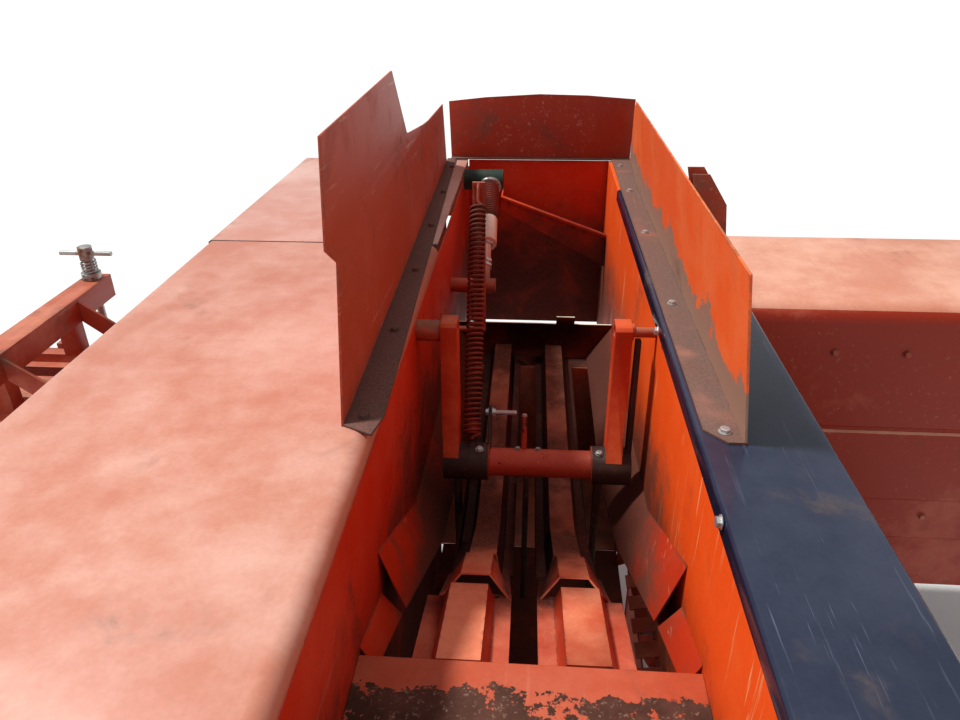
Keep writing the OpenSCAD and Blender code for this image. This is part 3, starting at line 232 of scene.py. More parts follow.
chalkLook = {"broadShare": 0.62, "upLift": 0.75, "blotch": (0.34, 0.68), "speck": 0.20}


def chalkGroup():
    # old paint that the sun has bleached unevenly, more on what faces up
    group, come, go = newGroup("chalkedPaint", [
        ("Vector", "v", None), ("Up", "f", 0.0), ("Paint", "c", (0.5, 0.05, 0.02, 1)),
        ("Bleached", "c", (0.8, 0.3, 0.2, 1)), ("Bleach", "f", 0.5)], [("Colour", "c"), ("Blotch", "f")])
    broad = noise(group, come["Vector"], "broadBlotch")
    small = noise(group, come["Vector"], "smallBlotch")
    fine = noise(group, come["Vector"], "fineSpeck")
    blotch = weigh(group, broad, small, chalkLook["broadShare"])
    lift = maths(group, "MULTIPLY_ADD", come["Up"], chalkLook["upLift"],
                 maths(group, "SUBTRACT", come["Bleach"], 0.5))
    amount = maths(group, "ADD", ramp(group, blotch, *chalkLook["blotch"]), lift, clamp=True)
    mixed = mixColour(group, amount, come["Paint"], come["Bleached"])
    speck = maths(group, "MULTIPLY_ADD", fine, chalkLook["speck"], 1 - chalkLook["speck"] / 2)
    grey = put(group, "ShaderNodeCombineColor")
    for socket in grey.inputs[:3]:
        group.links.new(speck, socket)
    group.links.new(mixColour(group, 1.0, mixed, grey.outputs[0], "MULTIPLY"), go["Colour"])
    group.links.new(blotch, go["Blotch"])
    return group


chipLook = {
    "bevelSamples": 2, "edge": (0.995, 0.80), "coarseShare": 0.65, "wear": 0.34, "flake": 0.16,
    "bare": (0.715, 0.735), "rim": (0.685, 0.725),
}


def chipGroup():
    # where paint is lost: specks and flakes all over, and more along edges
    group, come, go = newGroup("flakedEdges", [
        ("Vector", "v", None), ("Edge width", "f", 0.006), ("Flakes", "f", 0.5), ("Edge wear", "f", 0.5)],
        [("Bare", "f"), ("Rim", "f")])
    bevel = put(group, "ShaderNodeBevel", samples=chipLook["bevelSamples"])
    group.links.new(come["Edge width"], bevel.inputs["Radius"])
    geometry = put(group, "ShaderNodeNewGeometry")
    dot = put(group, "ShaderNodeVectorMath", operation="DOT_PRODUCT")
    group.links.new(bevel.outputs[0], dot.inputs[0])
    group.links.new(geometry.outputs["Normal"], dot.inputs[1])
    edge = ramp(group, dot.outputs["Value"], *chipLook["edge"])
    coarse = noise(group, come["Vector"], "coarseFlake")
    grit = noise(group, come["Vector"], "gritFlake")
    field = weigh(group, coarse, grit, chipLook["coarseShare"])
    worn = maths(group, "MULTIPLY", edge, maths(group, "MULTIPLY", come["Edge wear"], chipLook["wear"]))
    flaked = maths(group, "MULTIPLY_ADD", come["Flakes"], chipLook["flake"], field)
    level = maths(group, "ADD", flaked, worn)
    group.links.new(ramp(group, level, *chipLook["bare"]), go["Bare"])
    group.links.new(ramp(group, flaked, *chipLook["rim"]), go["Rim"])
    return group


scratchLook = {"line": (0.60, 0.66), "place": (0.40, 0.62)}


def scratchGroup():
    # thin rubbed lines along one direction, in patches
    group, come, go = newGroup("rubbedLines", [
        ("Vector", "v", None), ("Along", "v", (60.0, 2.0, 60.0)), ("Amount", "f", 0.5)], [("Lines", "f")])
    scaled = put(group, "ShaderNodeVectorMath", operation="MULTIPLY")
    group.links.new(come["Vector"], scaled.inputs[0])
    group.links.new(come["Along"], scaled.inputs[1])
    sharp = ramp(group, noise(group, scaled.outputs[0], "rubbedLine"), *scratchLook["line"])
    where = ramp(group, noise(group, come["Vector"], "rubbedPlace"), *scratchLook["place"])
    masked = maths(group, "MULTIPLY", sharp, where)
    group.links.new(maths(group, "MULTIPLY", masked, come["Amount"]), go["Lines"])
    return group


rustLook = {"bloom": (0.35, 0.68), "dust": (0.56, 0.75), "dustColour": (0.30, 0.19, 0.13, 1)}


def rustGroup():
    # brown scale with darker pits and a few orange blooms
    group, come, go = newGroup("rustScale", [
        ("Vector", "v", None), ("Dark", "c", (0.05, 0.022, 0.014, 1)),
        ("Bloom", "c", (0.23, 0.085, 0.035, 1))], [("Colour", "c"), ("Height", "f")])
    broad = noise(group, come["Vector"], "rustBloom")
    pits = noise(group, come["Vector"], "rustPit")
    mixed = mixColour(group, ramp(group, broad, *rustLook["bloom"]), come["Dark"], come["Bloom"])
    dusty = mixColour(group, ramp(group, pits, *rustLook["dust"]), mixed, rustLook["dustColour"])
    group.links.new(dusty, go["Colour"])
    group.links.new(weigh(group, broad, pits, 0.5), go["Height"])
    return group


grimeLook = {"up": 0.05, "amount": 0.36, "cover": (0.60, 0.86), "dots": 0.9, "least": 0.35}


def grimeGroup():
    # dry soil and chaff dust that lies in patches, thicker low down or where it is asked for
    group, come, go = newGroup("dryGrime", [
        ("Vector", "v", None), ("Amount", "f", 0.3), ("Up", "f", 0.0)], [("Cover", "f")])
    cloud = noise(group, come["Vector"], "dustCloud")
    dots = noise(group, come["Vector"], "dustDot")
    raised = maths(group, "MULTIPLY_ADD", come["Up"], grimeLook["up"], cloud)
    level = maths(group, "MULTIPLY_ADD", come["Amount"], grimeLook["amount"], raised)
    dotted = maths(group, "MULTIPLY_ADD", dots, grimeLook["dots"], grimeLook["least"], clamp=True)
    cover = maths(group, "MULTIPLY", ramp(group, level, *grimeLook["cover"]), dotted)
    group.links.new(cover, go["Cover"])
    return group


groups = {}


def newMaterial(name):
    material = bpy.data.materials.new(name)
    material.use_nodes = True
    tree = material.node_tree
    return material, tree, tree.nodes["Principled BSDF"], put(tree, "ShaderNodeTexCoord")


def addRelief(tree, shader, height, strength, distance):
    relief = put(tree, "ShaderNodeBump", in_Strength=strength, in_Distance=distance)
    tree.links.new(height, relief.inputs["Height"])
    tree.links.new(relief.outputs[0], shader.inputs["Normal"])


paintLook = {
    "primerRagged": 0.26, "primerLine": 0.006, "rustRagged": 0.08,
    "deepDustAndShade": 0.9, "deepPaintedShade": 0.72, "paintedShadeColour": (0.022, 0.011, 0.008, 1),
    "roughSpread": 0.16, "roughDull": 0.85,
    "skinHeight": -0.5, "pitHeight": 0.35, "blotchHeight": 0.3, "dustHeight": 0.2, "relief": 0.004,
}


def raggedLevel(tree, place, level, pattern, spread):
    # a height or distance whose line is broken up by noise
    shift = maths(tree, "MULTIPLY_ADD", noise(tree, place, pattern), spread, -spread / 2)
    return maths(tree, "ADD", level, shift)


def paintMaterial(name, paint, bleached, bleach=0.1, bare=(0.20, 0.10, 0.06), flakes=0.3, edgeWear=0.6,
                  grime=0.3, grimeColour=(0.15, 0.095, 0.065), gloss=0.42, scratch=0.4,
                  along=(70.0, 2.5, 70.0), scratchColour=(0.62, 0.34, 0.24), edgeWidth=0.006, bump=0.25,
                  depthDustAndShade=None, rusty=None, primer=None, shine=0.22):
    # depth setting: (top, bottom, strength) dust and a painted shade film that both thicken lower down;
    # rusty: (axis, from, to, strength);
    # primer: (colour, height where it ends)
    material, tree, shader, coords = newMaterial(name)
    shader.inputs["Specular IOR Level"].default_value = shine
    place = coords.outputs["Object"]
    facing = put(tree, "ShaderNodeSeparateXYZ")
    tree.links.new(coords.outputs["Normal"], facing.inputs[0])
    up = maths(tree, "MAXIMUM", facing.outputs["Z"], 0.0)

    chalk = put(tree, "ShaderNodeGroup", node_tree=groups["chalk"], in_Paint=(*paint, 1),
                in_Bleached=(*bleached, 1), in_Bleach=bleach)
    chips = put(tree, "ShaderNodeGroup", node_tree=groups["chip"], in_Flakes=flakes)
    chips.inputs["Edge wear"].default_value = edgeWear
    chips.inputs["Edge width"].default_value = edgeWidth
    lines = put(tree, "ShaderNodeGroup", node_tree=groups["scratch"], in_Along=along, in_Amount=scratch)
    rust = put(tree, "ShaderNodeGroup", node_tree=groups["rust"], in_Bloom=(*bare, 1))
    dust = put(tree, "ShaderNodeGroup", node_tree=groups["grime"], in_Amount=grime)
    for group in (chalk, chips, lines, rust, dust):
        tree.links.new(place, group.inputs["Vector"])
    tree.links.new(up, chalk.inputs["Up"])
    tree.links.new(up, dust.inputs["Up"])

    where = put(tree, "ShaderNodeSeparateXYZ")
    tree.links.new(place, where.inputs[0])
    colour = chalk.outputs["Colour"]
    if primer:
        primerColour, primerEnd = primer
        level = raggedLevel(tree, place, where.outputs["Z"], "primerEdge", paintLook["primerRagged"])
        line = ramp(tree, level, primerEnd + paintLook["primerLine"], primerEnd - paintLook["primerLine"])
        colour = mixColour(tree, line, colour, (*primerColour, 1))
    if rusty:
        axis, rustFrom, rustTo, rustStrength = rusty
        level = raggedLevel(tree, place, where.outputs[axis], "rustEdge", paintLook["rustRagged"])
        more = maths(tree, "MULTIPLY_ADD", ramp(tree, level, rustFrom, rustTo), rustStrength, flakes)
        tree.links.new(more, chips.inputs["Flakes"])
    colour = mixColour(tree, lines.outputs["Lines"], colour, (*scratchColour, 1))
    colour = mixColour(tree, chips.outputs["Bare"], colour, rust.outputs["Colour"])
    colour = mixColour(tree, dust.outputs["Cover"], colour, (*grimeColour, 1))
    # painted shade: lower down, the colour is darkened towards a near-black film and the dust is thickened,
    # to stand for the shade deep in the channel
    if depthDustAndShade:
        deepTop, deepBottom, deepStrength = depthDustAndShade
        depth = ramp(tree, where.outputs["Z"], deepTop, deepBottom)
        dustAndShade = maths(tree, "MULTIPLY_ADD", depth, paintLook["deepDustAndShade"] * deepStrength, grime)
        tree.links.new(dustAndShade, dust.inputs["Amount"])
        paintedShadeAmount = maths(tree, "MULTIPLY", depth, paintLook["deepPaintedShade"] * deepStrength)
        colour = mixColour(tree, paintedShadeAmount, colour, paintLook["paintedShadeColour"])
    tree.links.new(colour, shader.inputs["Base Color"])

    spread = paintLook["roughSpread"]
    base = maths(tree, "MULTIPLY_ADD", chalk.outputs["Blotch"], spread, gloss - spread / 2)
    dull = maths(tree, "MAXIMUM", chips.outputs["Bare"], dust.outputs["Cover"])
    tree.links.new(maths(tree, "MULTIPLY_ADD", dull, paintLook["roughDull"] - gloss, base, clamp=True),
                   shader.inputs["Roughness"])

    pitted = maths(tree, "MULTIPLY", rust.outputs["Height"], chips.outputs["Rim"])
    height = maths(tree, "MULTIPLY", chips.outputs["Rim"], paintLook["skinHeight"])
    for layer, amount in ((pitted, "pitHeight"), (chalk.outputs["Blotch"], "blotchHeight"),
                          (dust.outputs["Cover"], "dustHeight")):
        height = maths(tree, "MULTIPLY_ADD", layer, paintLook[amount], height)
    addRelief(tree, shader, height, bump, paintLook["relief"])
    return material


steelLook = {
    "bareFrom": 0.78, "bareTo": 0.92, "rustShift": 0.55, "roughRust": 0.85, "bump": 0.3, "relief": 0.002,
}


def steelMaterial(name, bright, rustAmount, rough=0.45, metallic=0.85):
    material, tree, shader, coords = newMaterial(name)
    place = coords.outputs["Object"]
    rust = put(tree, "ShaderNodeGroup", node_tree=groups["rust"])
    tree.links.new(place, rust.inputs["Vector"])
    shift = steelLook["rustShift"] * rustAmount
    cover = ramp(tree, noise(tree, place, "steelCloud"), steelLook["bareFrom"] - shift,
                 steelLook["bareTo"] - shift)
    tree.links.new(mixColour(tree, cover, (*bright, 1), rust.outputs["Colour"]), shader.inputs["Base Color"])
    tree.links.new(maths(tree, "MULTIPLY_ADD", cover, -metallic, metallic, clamp=True),
                   shader.inputs["Metallic"])
    tree.links.new(maths(tree, "MULTIPLY_ADD", cover, steelLook["roughRust"] - rough, rough),
                   shader.inputs["Roughness"])
    addRelief(tree, shader, rust.outputs["Height"], steelLook["bump"], steelLook["relief"])
    return material


rubberLook = {
    "dark": (0.012, 0.012, 0.012, 1), "light": (0.035, 0.033, 0.03, 1), "dustColour": (0.16, 0.13, 0.10, 1),
    "dust": 0.55, "roughness": 0.78, "bump": 0.25, "relief": 0.002,
}


def rubberMaterial(name):
    material, tree, shader, coords = newMaterial(name)
    place = coords.outputs["Object"]
    dust = put(tree, "ShaderNodeGroup", node_tree=groups["grime"], in_Amount=rubberLook["dust"])
    tree.links.new(place, dust.inputs["Vector"])
    black = mixColour(tree, noise(tree, place, "rubberShade"), rubberLook["dark"], rubberLook["light"])
    tree.links.new(mixColour(tree, dust.outputs["Cover"], black, rubberLook["dustColour"]),
                   shader.inputs["Base Color"])
    shader.inputs["Roughness"].default_value = rubberLook["roughness"]
    addRelief(tree, shader, noise(tree, place, "rubberGrain"), rubberLook["bump"], rubberLook["relief"])
    return material


def makeMaterials():
    groups.update(chalk=chalkGroup(), chip=chipGroup(), scratch=scratchGroup(), rust=rustGroup(),
                  grime=grimeGroup())
    # the finishes given a depth setting below also take painted shade in their lower parts
    return {
        "paint": paintMaterial("agedRed", (0.40, 0.045, 0.018), (0.60, 0.19, 0.11), grime=0.35),
        "faded": paintMaterial("bleachedRed", (0.31, 0.024, 0.008), (0.62, 0.17, 0.095), -0.15, grime=0.10,
                               grimeColour=(0.12, 0.05, 0.035), flakes=-0.15, scratch=0.25),
        "housingTop": paintMaterial("paleHousingTop", (0.56, 0.19, 0.11), (0.76, 0.40, 0.28), 0.0,
                                    grime=-0.05, flakes=-0.4, scratch=0.3,
                                    scratchColour=(0.40, 0.16, 0.10), bump=0.10),
        "deckTop": paintMaterial("sunBleachedDeck", (0.60, 0.215, 0.135), (0.78, 0.43, 0.33), -0.38,
                                 grime=-0.1, flakes=-0.9, edgeWear=1.2, scratch=0.12,
                                 scratchColour=(0.40, 0.16, 0.10), gloss=0.36, bump=0.10, shine=0.5),
        "knotterTop": paintMaterial("paleKnotterDeck", (0.60, 0.26, 0.19), (0.74, 0.46, 0.385), -0.25,
                                    grime=-0.05, flakes=-0.7, edgeWear=1.0, scratch=0.2,
                                    scratchColour=(0.40, 0.18, 0.12), gloss=0.42, bump=0.10, shine=0.4),
        "orange": paintMaterial("brightOrange", (0.86, 0.090, 0.010), (0.88, 0.14, 0.025), 0.0, grime=0.1,
                                scratch=0.75, along=(60.0, 60.0, 2.2), scratchColour=(0.80, 0.48, 0.22),
                                flakes=0.0, grimeColour=(0.16, 0.05, 0.025), depthDustAndShade=(1.24, 1.0, 0.8)),
        "frontGuard": paintMaterial("guardOrange", (0.80, 0.105, 0.020), (0.80, 0.19, 0.06), 0.1, grime=0.1,
                                    scratch=0.5, along=(60.0, 60.0, 2.2), scratchColour=(0.60, 0.33, 0.22),
                                    primer=((0.30, 0.165, 0.115), 1.475), flakes=0.15),
        "frontFlange": paintMaterial("flangeOrange", (0.40, 0.07, 0.03), (0.34, 0.15, 0.10), 0.1, grime=0.9,
                                     grimeColour=(0.13, 0.085, 0.07), flakes=0.5, scratch=0.4),
        "slat": paintMaterial("slatOrange", (0.58, 0.058, 0.016), (0.88, 0.31, 0.165), 0.12, grime=0.0,
                              grimeColour=(0.10, 0.04, 0.025), flakes=0.05, scratch=0.6,
                              along=(60.0, 2.5, 60.0), depthDustAndShade=(1.09, 0.98, 0.72)),
        # darker red on the slats' flanges, for dust, and on their side webs as painted shade
        "slatFoot": paintMaterial("slatFootRed", (0.40, 0.032, 0.010), (0.70, 0.20, 0.11), -0.2, grime=0.25,
                                  grimeColour=(0.07, 0.025, 0.016), flakes=0.1, depthDustAndShade=(1.09, 0.96, 0.85)),
        "dark": paintMaterial("shadedRed", (0.62, 0.032, 0.008), (0.66, 0.075, 0.030), 0.05, grime=0.15,
                              grimeColour=(0.12, 0.035, 0.02), scratch=0.4, flakes=0.05,
                              scratchColour=(0.5, 0.2, 0.13), depthDustAndShade=(1.36, 0.96, 0.85)),
        # painted shade: the back guard's red is made darker to stand for the shade on its near face
        "backGuard": paintMaterial("backGuardRed", (0.34, 0.028, 0.010), (0.42, 0.07, 0.035), -0.1, grime=0.2,
                                   grimeColour=(0.12, 0.05, 0.035), scratch=0.4, flakes=0.1),
        "strip": paintMaterial("stripRed", (0.50, 0.036, 0.010), (0.54, 0.085, 0.035), -0.25, grime=0.3,
                               grimeColour=(0.12, 0.05, 0.03), flakes=0.2, depthDustAndShade=(1.12, 0.92, 0.8)),
        "rearGuard": paintMaterial("guardRed", (0.46, 0.062, 0.026), (0.54, 0.11, 0.060), -0.1, grime=0.2,
                                   grimeColour=(0.15, 0.07, 0.05), scratch=0.6, along=(3.0, 3.0, 55.0),
                                   flakes=0.1),
        "rim": paintMaterial("rimGrime", (0.34, 0.05, 0.026), (0.42, 0.12, 0.08), 0.1, grime=1.25,
                             grimeColour=(0.10, 0.065, 0.052), flakes=0.3, scratch=0.2),
        "navy": paintMaterial("darkBlue", (0.010, 0.015, 0.036), (0.034, 0.040, 0.068), 0.0,
                              bare=(0.30, 0.16, 0.10), flakes=-0.1, edgeWear=0.9, grime=0.0, gloss=0.2,
                              scratch=0.4, along=(80.0, 3.0, 80.0), scratchColour=(0.20, 0.22, 0.29),
                              edgeWidth=0.004, shine=0.5),
        "rust": paintMaterial("rustyCover", (0.46, 0.070, 0.026), (0.56, 0.14, 0.075), -0.3, flakes=-0.2,
                              bare=(0.11, 0.045, 0.030), grime=0.05, scratch=0.3,
                              rusty=(1, coverFront - 0.022, coverFront - 0.055, 1.9)),
        "forkArm": paintMaterial("forkRed", (0.50, 0.040, 0.012), (0.78, 0.15, 0.04), 0.0, grime=0.2,
                                 flakes=0.15, scratch=0.4, along=(60.0, 60.0, 3.0)),
        "tube": paintMaterial("tubeRed", (0.44, 0.045, 0.020), (0.52, 0.10, 0.05), 0.1, grime=0.15,
                              flakes=0.95, bare=(0.05, 0.03, 0.024), scratch=0.3),
        "greasy": paintMaterial("greasyClamp", (0.045, 0.020, 0.014), (0.07, 0.04, 0.03), 0.2, grime=0.5,
                                grimeColour=(0.03, 0.022, 0.018), gloss=0.34, flakes=0.5),
        "strutGreen": paintMaterial("mossyHub", (0.012, 0.030, 0.020), (0.03, 0.06, 0.045), 0.2, grime=0.4,
                                    grimeColour=(0.05, 0.04, 0.03), flakes=0.4),
        "paleBar": paintMaterial("paleBar", (0.78, 0.42, 0.30), (0.85, 0.66, 0.55), 0.2, grime=0.1,
                                 flakes=0.0),
        "springRed": paintMaterial("springRed", (0.20, 0.025, 0.014), (0.34, 0.05, 0.03), 0.2, grime=0.4,
                                   grimeColour=(0.07, 0.035, 0.025), flakes=0.2, scratch=0.1),
        # bare primer on the end rail's top face, made pale as a painted highlight for the sunlight on it
        "paleEdge": paintMaterial("paleEdge", (0.72, 0.66, 0.34), (0.85, 0.80, 0.60), 0.3, grime=0.1,
                                  flakes=0.1),
        "steel": steelMaterial("wornSteel", (0.46, 0.45, 0.43), 0.55),
        "zinc": steelMaterial("brightBolt", (0.62, 0.60, 0.58), 0.25, 0.38, 0.7),
        "black": rubberMaterial("dustyRubber"),
    }


# Working places: metres from the middle of the feed channel, on the line of the bale chamber

coverLow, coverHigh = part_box("channel_cover")
deckLow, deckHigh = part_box("deck")
middleX = (coverLow.x + coverHigh.x) / 2
middleY = deckLow.y + 1.95
deckZ = deckHigh.z
coverFront = coverHigh.y
bodyOf = {name: body for body, names in frame["record"]["behaviour"]["bodies"].items() for name in names}
slotOf = {row["node"]: row["material_slot"] for row in frame["record"]["subparts"]}


def spot(x, y, z):
    return Vector((x + middleX, y + middleY, z))


def finishPiece(piece, body, material=None):
    if material:
        piece.data.materials.clear()
        piece.data.materials.append(material)
    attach(piece, body)
    return piece


def paintWhere(piece, material, test):
    # gives another finish to the faces whose middle and normal pass the test
    piece.data.materials.append(material)
    index = len(piece.data.materials) - 1
    for face in piece.data.polygons:
        if test(face.center, face.normal):
            face.material_index = index


# Sheet and plate nodes get copies with rounded edges, in place of the sharp ones

softEdge = {
    "deck": 0.0016, "knotter_deck": 0.0016, "end_plate": 0.0014, "twine_box": 0.0016, "twine_door": 0.004,
    "knotter_door": 0.003, "channel_front_wall": 0.0014, "channel_rear_wall": 0.0014, "channel_cover": 0.0018,
    "feeder_slats": 0.0011, "wall_strips": 0.0009, "far_plate": 0.0014, "front_beam": 0.0018,
    "front_guard": 0.0014, "rear_guard": 0.0014, "back_guard": 0.0014, "fork_frame": 0.003,
    "fork_tines": 0.003, "feeder_mounts": 0.002, "crank_housing": 0.0025, "gearbox": 0.006,
    "flywheel_guard": 0.0014, "hitch_bracket": 0.003, "chamber_floor": 0.0016, "chamber_roof": 0.0016,
    "chamber_left_side": 0.002, "chamber_right_side": 0.002, "axle_right": 0.005, "axle_left": 0.005,
    "pickup_frame": 0.0016, "pickup_brackets": 0.003, "tension_frame": 0.005, "tension_screws": 0.002,
    "bale_chute": 0.0014, "drawbar": 0.006, "hitch_eye": 0.005, "jack_leg": 0.003, "lever_bracket": 0.002,
    "knotters": 0.003, "needle_yoke": 0.003, "flywheel": 0.003, "plunger": 0.003,
}


weld = {"copy": 0.00004, "coil": 0.00005, "flat": 0.7}     # metres, metres and degrees
rounding = {"angle": 38, "segments": 2}


def mergedCopy(name):
    piece = bpy.data.objects.new(name + "_finished", nodes[name].data.copy())
    bpy.context.scene.collection.objects.link(piece)
    editAll(piece)
    bpy.ops.mesh.remove_doubles(threshold=weld["copy"])
    bpy.ops.mesh.dissolve_limited(angle_limit=math.radians(weld["flat"]))
    objectMode()
    return piece


def roundEdges(piece, width):
    bevel = piece.modifiers.new("softEdge", "BEVEL")
    bevel.width = width
    bevel.segments = rounding["segments"]
    bevel.limit_method = "ANGLE"
    bevel.angle_limit = math.radians(rounding["angle"])
    bevel.use_clamp_overlap = True
    applyAll(piece)
    smooth(piece)


def cutAbove(piece, z):
    editAll(piece)
    bpy.ops.mesh.bisect(plane_co=(0, 0, z), plane_no=(0, 0, 1), clear_outer=True, use_fill=True)
    objectMode()


def cutAcross(piece, y):
    # an extra edge across a sheet, so that the faces on either side can take their own finish
    editAll(piece)
    bpy.ops.mesh.bisect(plane_co=(0, y, 0), plane_no=(0, 1, 0))
    objectMode()


lapShadowBand = 0.016      # width of the dark band, a painted shadow, where the near deck sheet laps the far one
deckFold = {
    "radius": 0.028, "steps": 7, "sheet": 0.004, "lip": 0.008, "corner": 0.004, "endGap": 0.001,
    "edge": 0.0012,
}


def foldedDeck(material):
    # one sheet: outer flange, top, and a round fold that runs down into the channel's rear wall
    lowest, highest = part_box("deck")
    sheet, bend, endGap = deckFold["sheet"], deckFold["radius"], deckFold["endGap"]
    lip, corner = deckFold["lip"], deckFold["corner"]
    inner = highest.x
    bpy.ops.mesh.primitive_plane_add(size=1)
    piece = bpy.context.object
    piece.name = "deck_finished"
    editAll(piece)
    bpy.ops.mesh.delete(type="VERT")
    objectMode()
    outline = [(lowest.x + sheet / 2, lowest.z), (lowest.x + sheet / 2, highest.z - lip),
               (lowest.x + corner, highest.z - corner), (lowest.x + lip, highest.z - sheet / 2),
               (inner - bend, highest.z - sheet / 2)]
    for step in range(1, deckFold["steps"] + 1):
        turn = math.pi / 2 * step / deckFold["steps"]
        outline.append((inner - bend + (bend - sheet / 2) * math.sin(turn),
                        highest.z - bend + (bend - sheet / 2) * math.cos(turn)))
    piece.data.from_pydata([(x, lowest.y + endGap, z) for x, z in outline],
                           [(i, i + 1) for i in range(len(outline) - 1)], [])
    editAll(piece)
    length = highest.y - lowest.y - 2 * endGap
    bpy.ops.mesh.extrude_region_move(TRANSFORM_OT_translate={"value": (0, length, 0)})
    bpy.ops.mesh.select_all(action="SELECT")
    bpy.ops.mesh.normals_make_consistent(inside=False)
    objectMode()
    wall = piece.modifiers.new("sheet", "SOLIDIFY")
    wall.thickness = sheet
    wall.offset = 0
    applyAll(piece)
    roundEdges(piece, deckFold["edge"])
    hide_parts("deck")
    return finishPiece(piece, bodyOf["deck"], material)


# Small parts that are made once and set many times

boltShape = {
    "washer": 0.7, "washerThick": 0.10, "washerSides": 20, "head": 0.56, "headTall": 0.36,
    "chamfer": {"thickness": 0.09, "depth": 0.04}, "crown": {"thickness": 0.10, "depth": 0.012},
}


def hexBolt():
    thick, tall = boltShape["washerThick"], boltShape["headTall"]
    bpy.ops.mesh.primitive_cylinder_add(vertices=boltShape["washerSides"], radius=boltShape["washer"],
                                        depth=thick, location=(0, 0, thick / 2))
    washer = bpy.context.object
    bpy.ops.mesh.primitive_cylinder_add(vertices=6, radius=boltShape["head"], depth=tall,
                                        location=(0, 0, thick + tall / 2))
    head = bpy.context.object
    editAll(head)
    bpy.ops.mesh.select_all(action="DESELECT")
    objectMode()
    for face in head.data.polygons:
        face.select = face.normal.z > 0.9
    pick(head)
    bpy.ops.object.mode_set(mode="EDIT")
    bpy.ops.mesh.inset(**boltShape["chamfer"])
    bpy.ops.mesh.inset(**boltShape["crown"])
    objectMode()
    washer.select_set(True)
    bpy.ops.object.join()
    bolt = bpy.context.object
    bpy.ops.object.transform_apply(location=True, rotation=True, scale=True)
    return bolt


def setMany(label, master, places, body, material):
    # places are (x, y, z, direction, size)
    parts = []
    for x, y, z, direction, size in places:
        part = bpy.data.objects.new(label, master.data.copy())
        turn = Vector(direction).to_track_quat("Z", "Y").to_matrix().to_4x4()
        part.data.transform(Matrix.Translation(spot(x, y, z)) @ turn @ Matrix.Scale(size, 4))
        bpy.context.scene.collection.objects.link(part)
        parts.append(part)
    piece = joinPieces(label, parts)
    smooth(piece)
    return finishPiece(piece, body, material)


def coil(label, start, end, radius, wire, turns, steps=14):
    length = (end - start).length
    bpy.ops.mesh.primitive_circle_add(vertices=8, radius=wire / 2, fill_type="NOTHING",
                                      location=(radius, 0, 0), rotation=(math.pi / 2, 0, 0))
    piece = bpy.context.object
    piece.name = label
    bpy.ops.object.transform_apply(location=True, rotation=True, scale=True)
    screw = piece.modifiers.new("turns", "SCREW")
    screw.angle = math.tau
    screw.screw_offset = length / turns
    screw.iterations = turns
    screw.steps = steps
    screw.render_steps = steps
    applyAll(piece)
    editAll(piece)
    bpy.ops.mesh.remove_doubles(threshold=weld["coil"])
    bpy.ops.mesh.fill_holes(sides=10)
    bpy.ops.mesh.select_all(action="SELECT")
    bpy.ops.mesh.normals_make_consistent(inside=False)
    objectMode()
    turn = (end - start).to_track_quat("Z", "Y").to_matrix().to_4x4()
    piece.data.transform(Matrix.Translation(start) @ turn)
    smooth(piece, 60)
    return piece


def bentRod(label, points, radius, smoothness=3):
    curve = bpy.data.curves.new(label, "CURVE")
    curve.dimensions = "3D"
    curve.bevel_depth = radius
    curve.bevel_resolution = 3
    curve.resolution_u = 6
    curve.use_fill_caps = True
    spline = curve.splines.new("NURBS")
    spline.points.add(len(points) - 1)
    for point, place in zip(spline.points, points):
        point.co = (*place, 1)
    spline.order_u = smoothness
    spline.use_endpoint_u = True
    piece = bpy.data.objects.new(label, curve)
    bpy.context.scene.collection.objects.link(piece)
    pick(piece)
    bpy.ops.object.convert(target="MESH")
    piece = bpy.context.object
    smooth(piece, 50)
    return piece


def joinPieces(label, parts):
    bpy.ops.object.select_all(action="DESELECT")
    for part in parts:
        part.select_set(True)
    bpy.context.view_layer.objects.active = parts[0]
    bpy.ops.object.join()
    piece = bpy.context.object
    piece.name = label
    return piece


# Which finish each node takes; what isn't named here takes its slot's own

finishOf = {
    "deck": "deckTop", "knotter_deck": "knotterTop", "feeder_slats": "slat", "wall_strips": "strip",
    "front_guard": "frontGuard", "rear_guard": "rearGuard", "fork_frame": "forkArm", "fork_tines": "greasy",
    "knotters": "steel", "channel_cover": "rust", "back_guard": "backGuard",
}

slatCourse = {
    "y": (-1.165, -0.950, -0.8384, -0.640, -0.400, 0.300),
    "foot": (1.090, 1.030, 0.9749, 0.877, 0.8603, 0.8603),
    "flange": 0.012,       # what lies lower than this over the foot line is the flange
}


def footLine(y):
    ys, zs = slatCourse["y"], slatCourse["foot"]
    for i in range(len(ys) - 1):
        if y <= ys[i + 1]:
            share = max(0.0, (y - ys[i]) / (ys[i + 1] - ys[i]))
            return zs[i] + share * (zs[i + 1] - zs[i])
    return zs[-1]


def finishFrame(materials):
    copies = {}
    for name, width in softEdge.items():
        material = materials[finishOf.get(name, slotOf[name])]
        if name == "deck":
            copies[name] = foldedDeck(material)
            continue
        piece = mergedCopy(name)
        if name == "channel_rear_wall":
            cutAbove(piece, deckZ - deckFold["radius"])
        # cut the knotter deck where its painted shadow band ends
        if name == "knotter_deck":
            cutAcross(piece, deckHigh.y + lapShadowBand)
        roundEdges(piece, width)
        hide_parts(name)
        copies[name] = finishPiece(piece, bodyOf[name], material)
    for name, piece in nodes.items():
        piece.data.materials.clear()
        piece.data.materials.append(materials[slotOf[name]])
        if name not in softEdge:
            smooth(piece)
    return copies


# Faces with another finish: places in working metres, and how squarely a face has to point

facePlace = {
    "slatSide": 0.75, "rail": {"y": 0.285, "z": 0.975, "facing": 0.8},
    "rimTop": 0.0065, "housingTop": {"under": 0.5, "facing": 0.7},
    "tube": {"y": -0.52, "z": 1.02, "radius": 0.034, "clampRadius": 0.050, "x": (-0.099, 0.136)},
    "strapX": 0.208, "hub": {"y": 0.64, "half": 0.037, "z": 1.33},
    "paleBar": {"y": (0.245, 0.39), "z": (1.20, 1.30)},
}


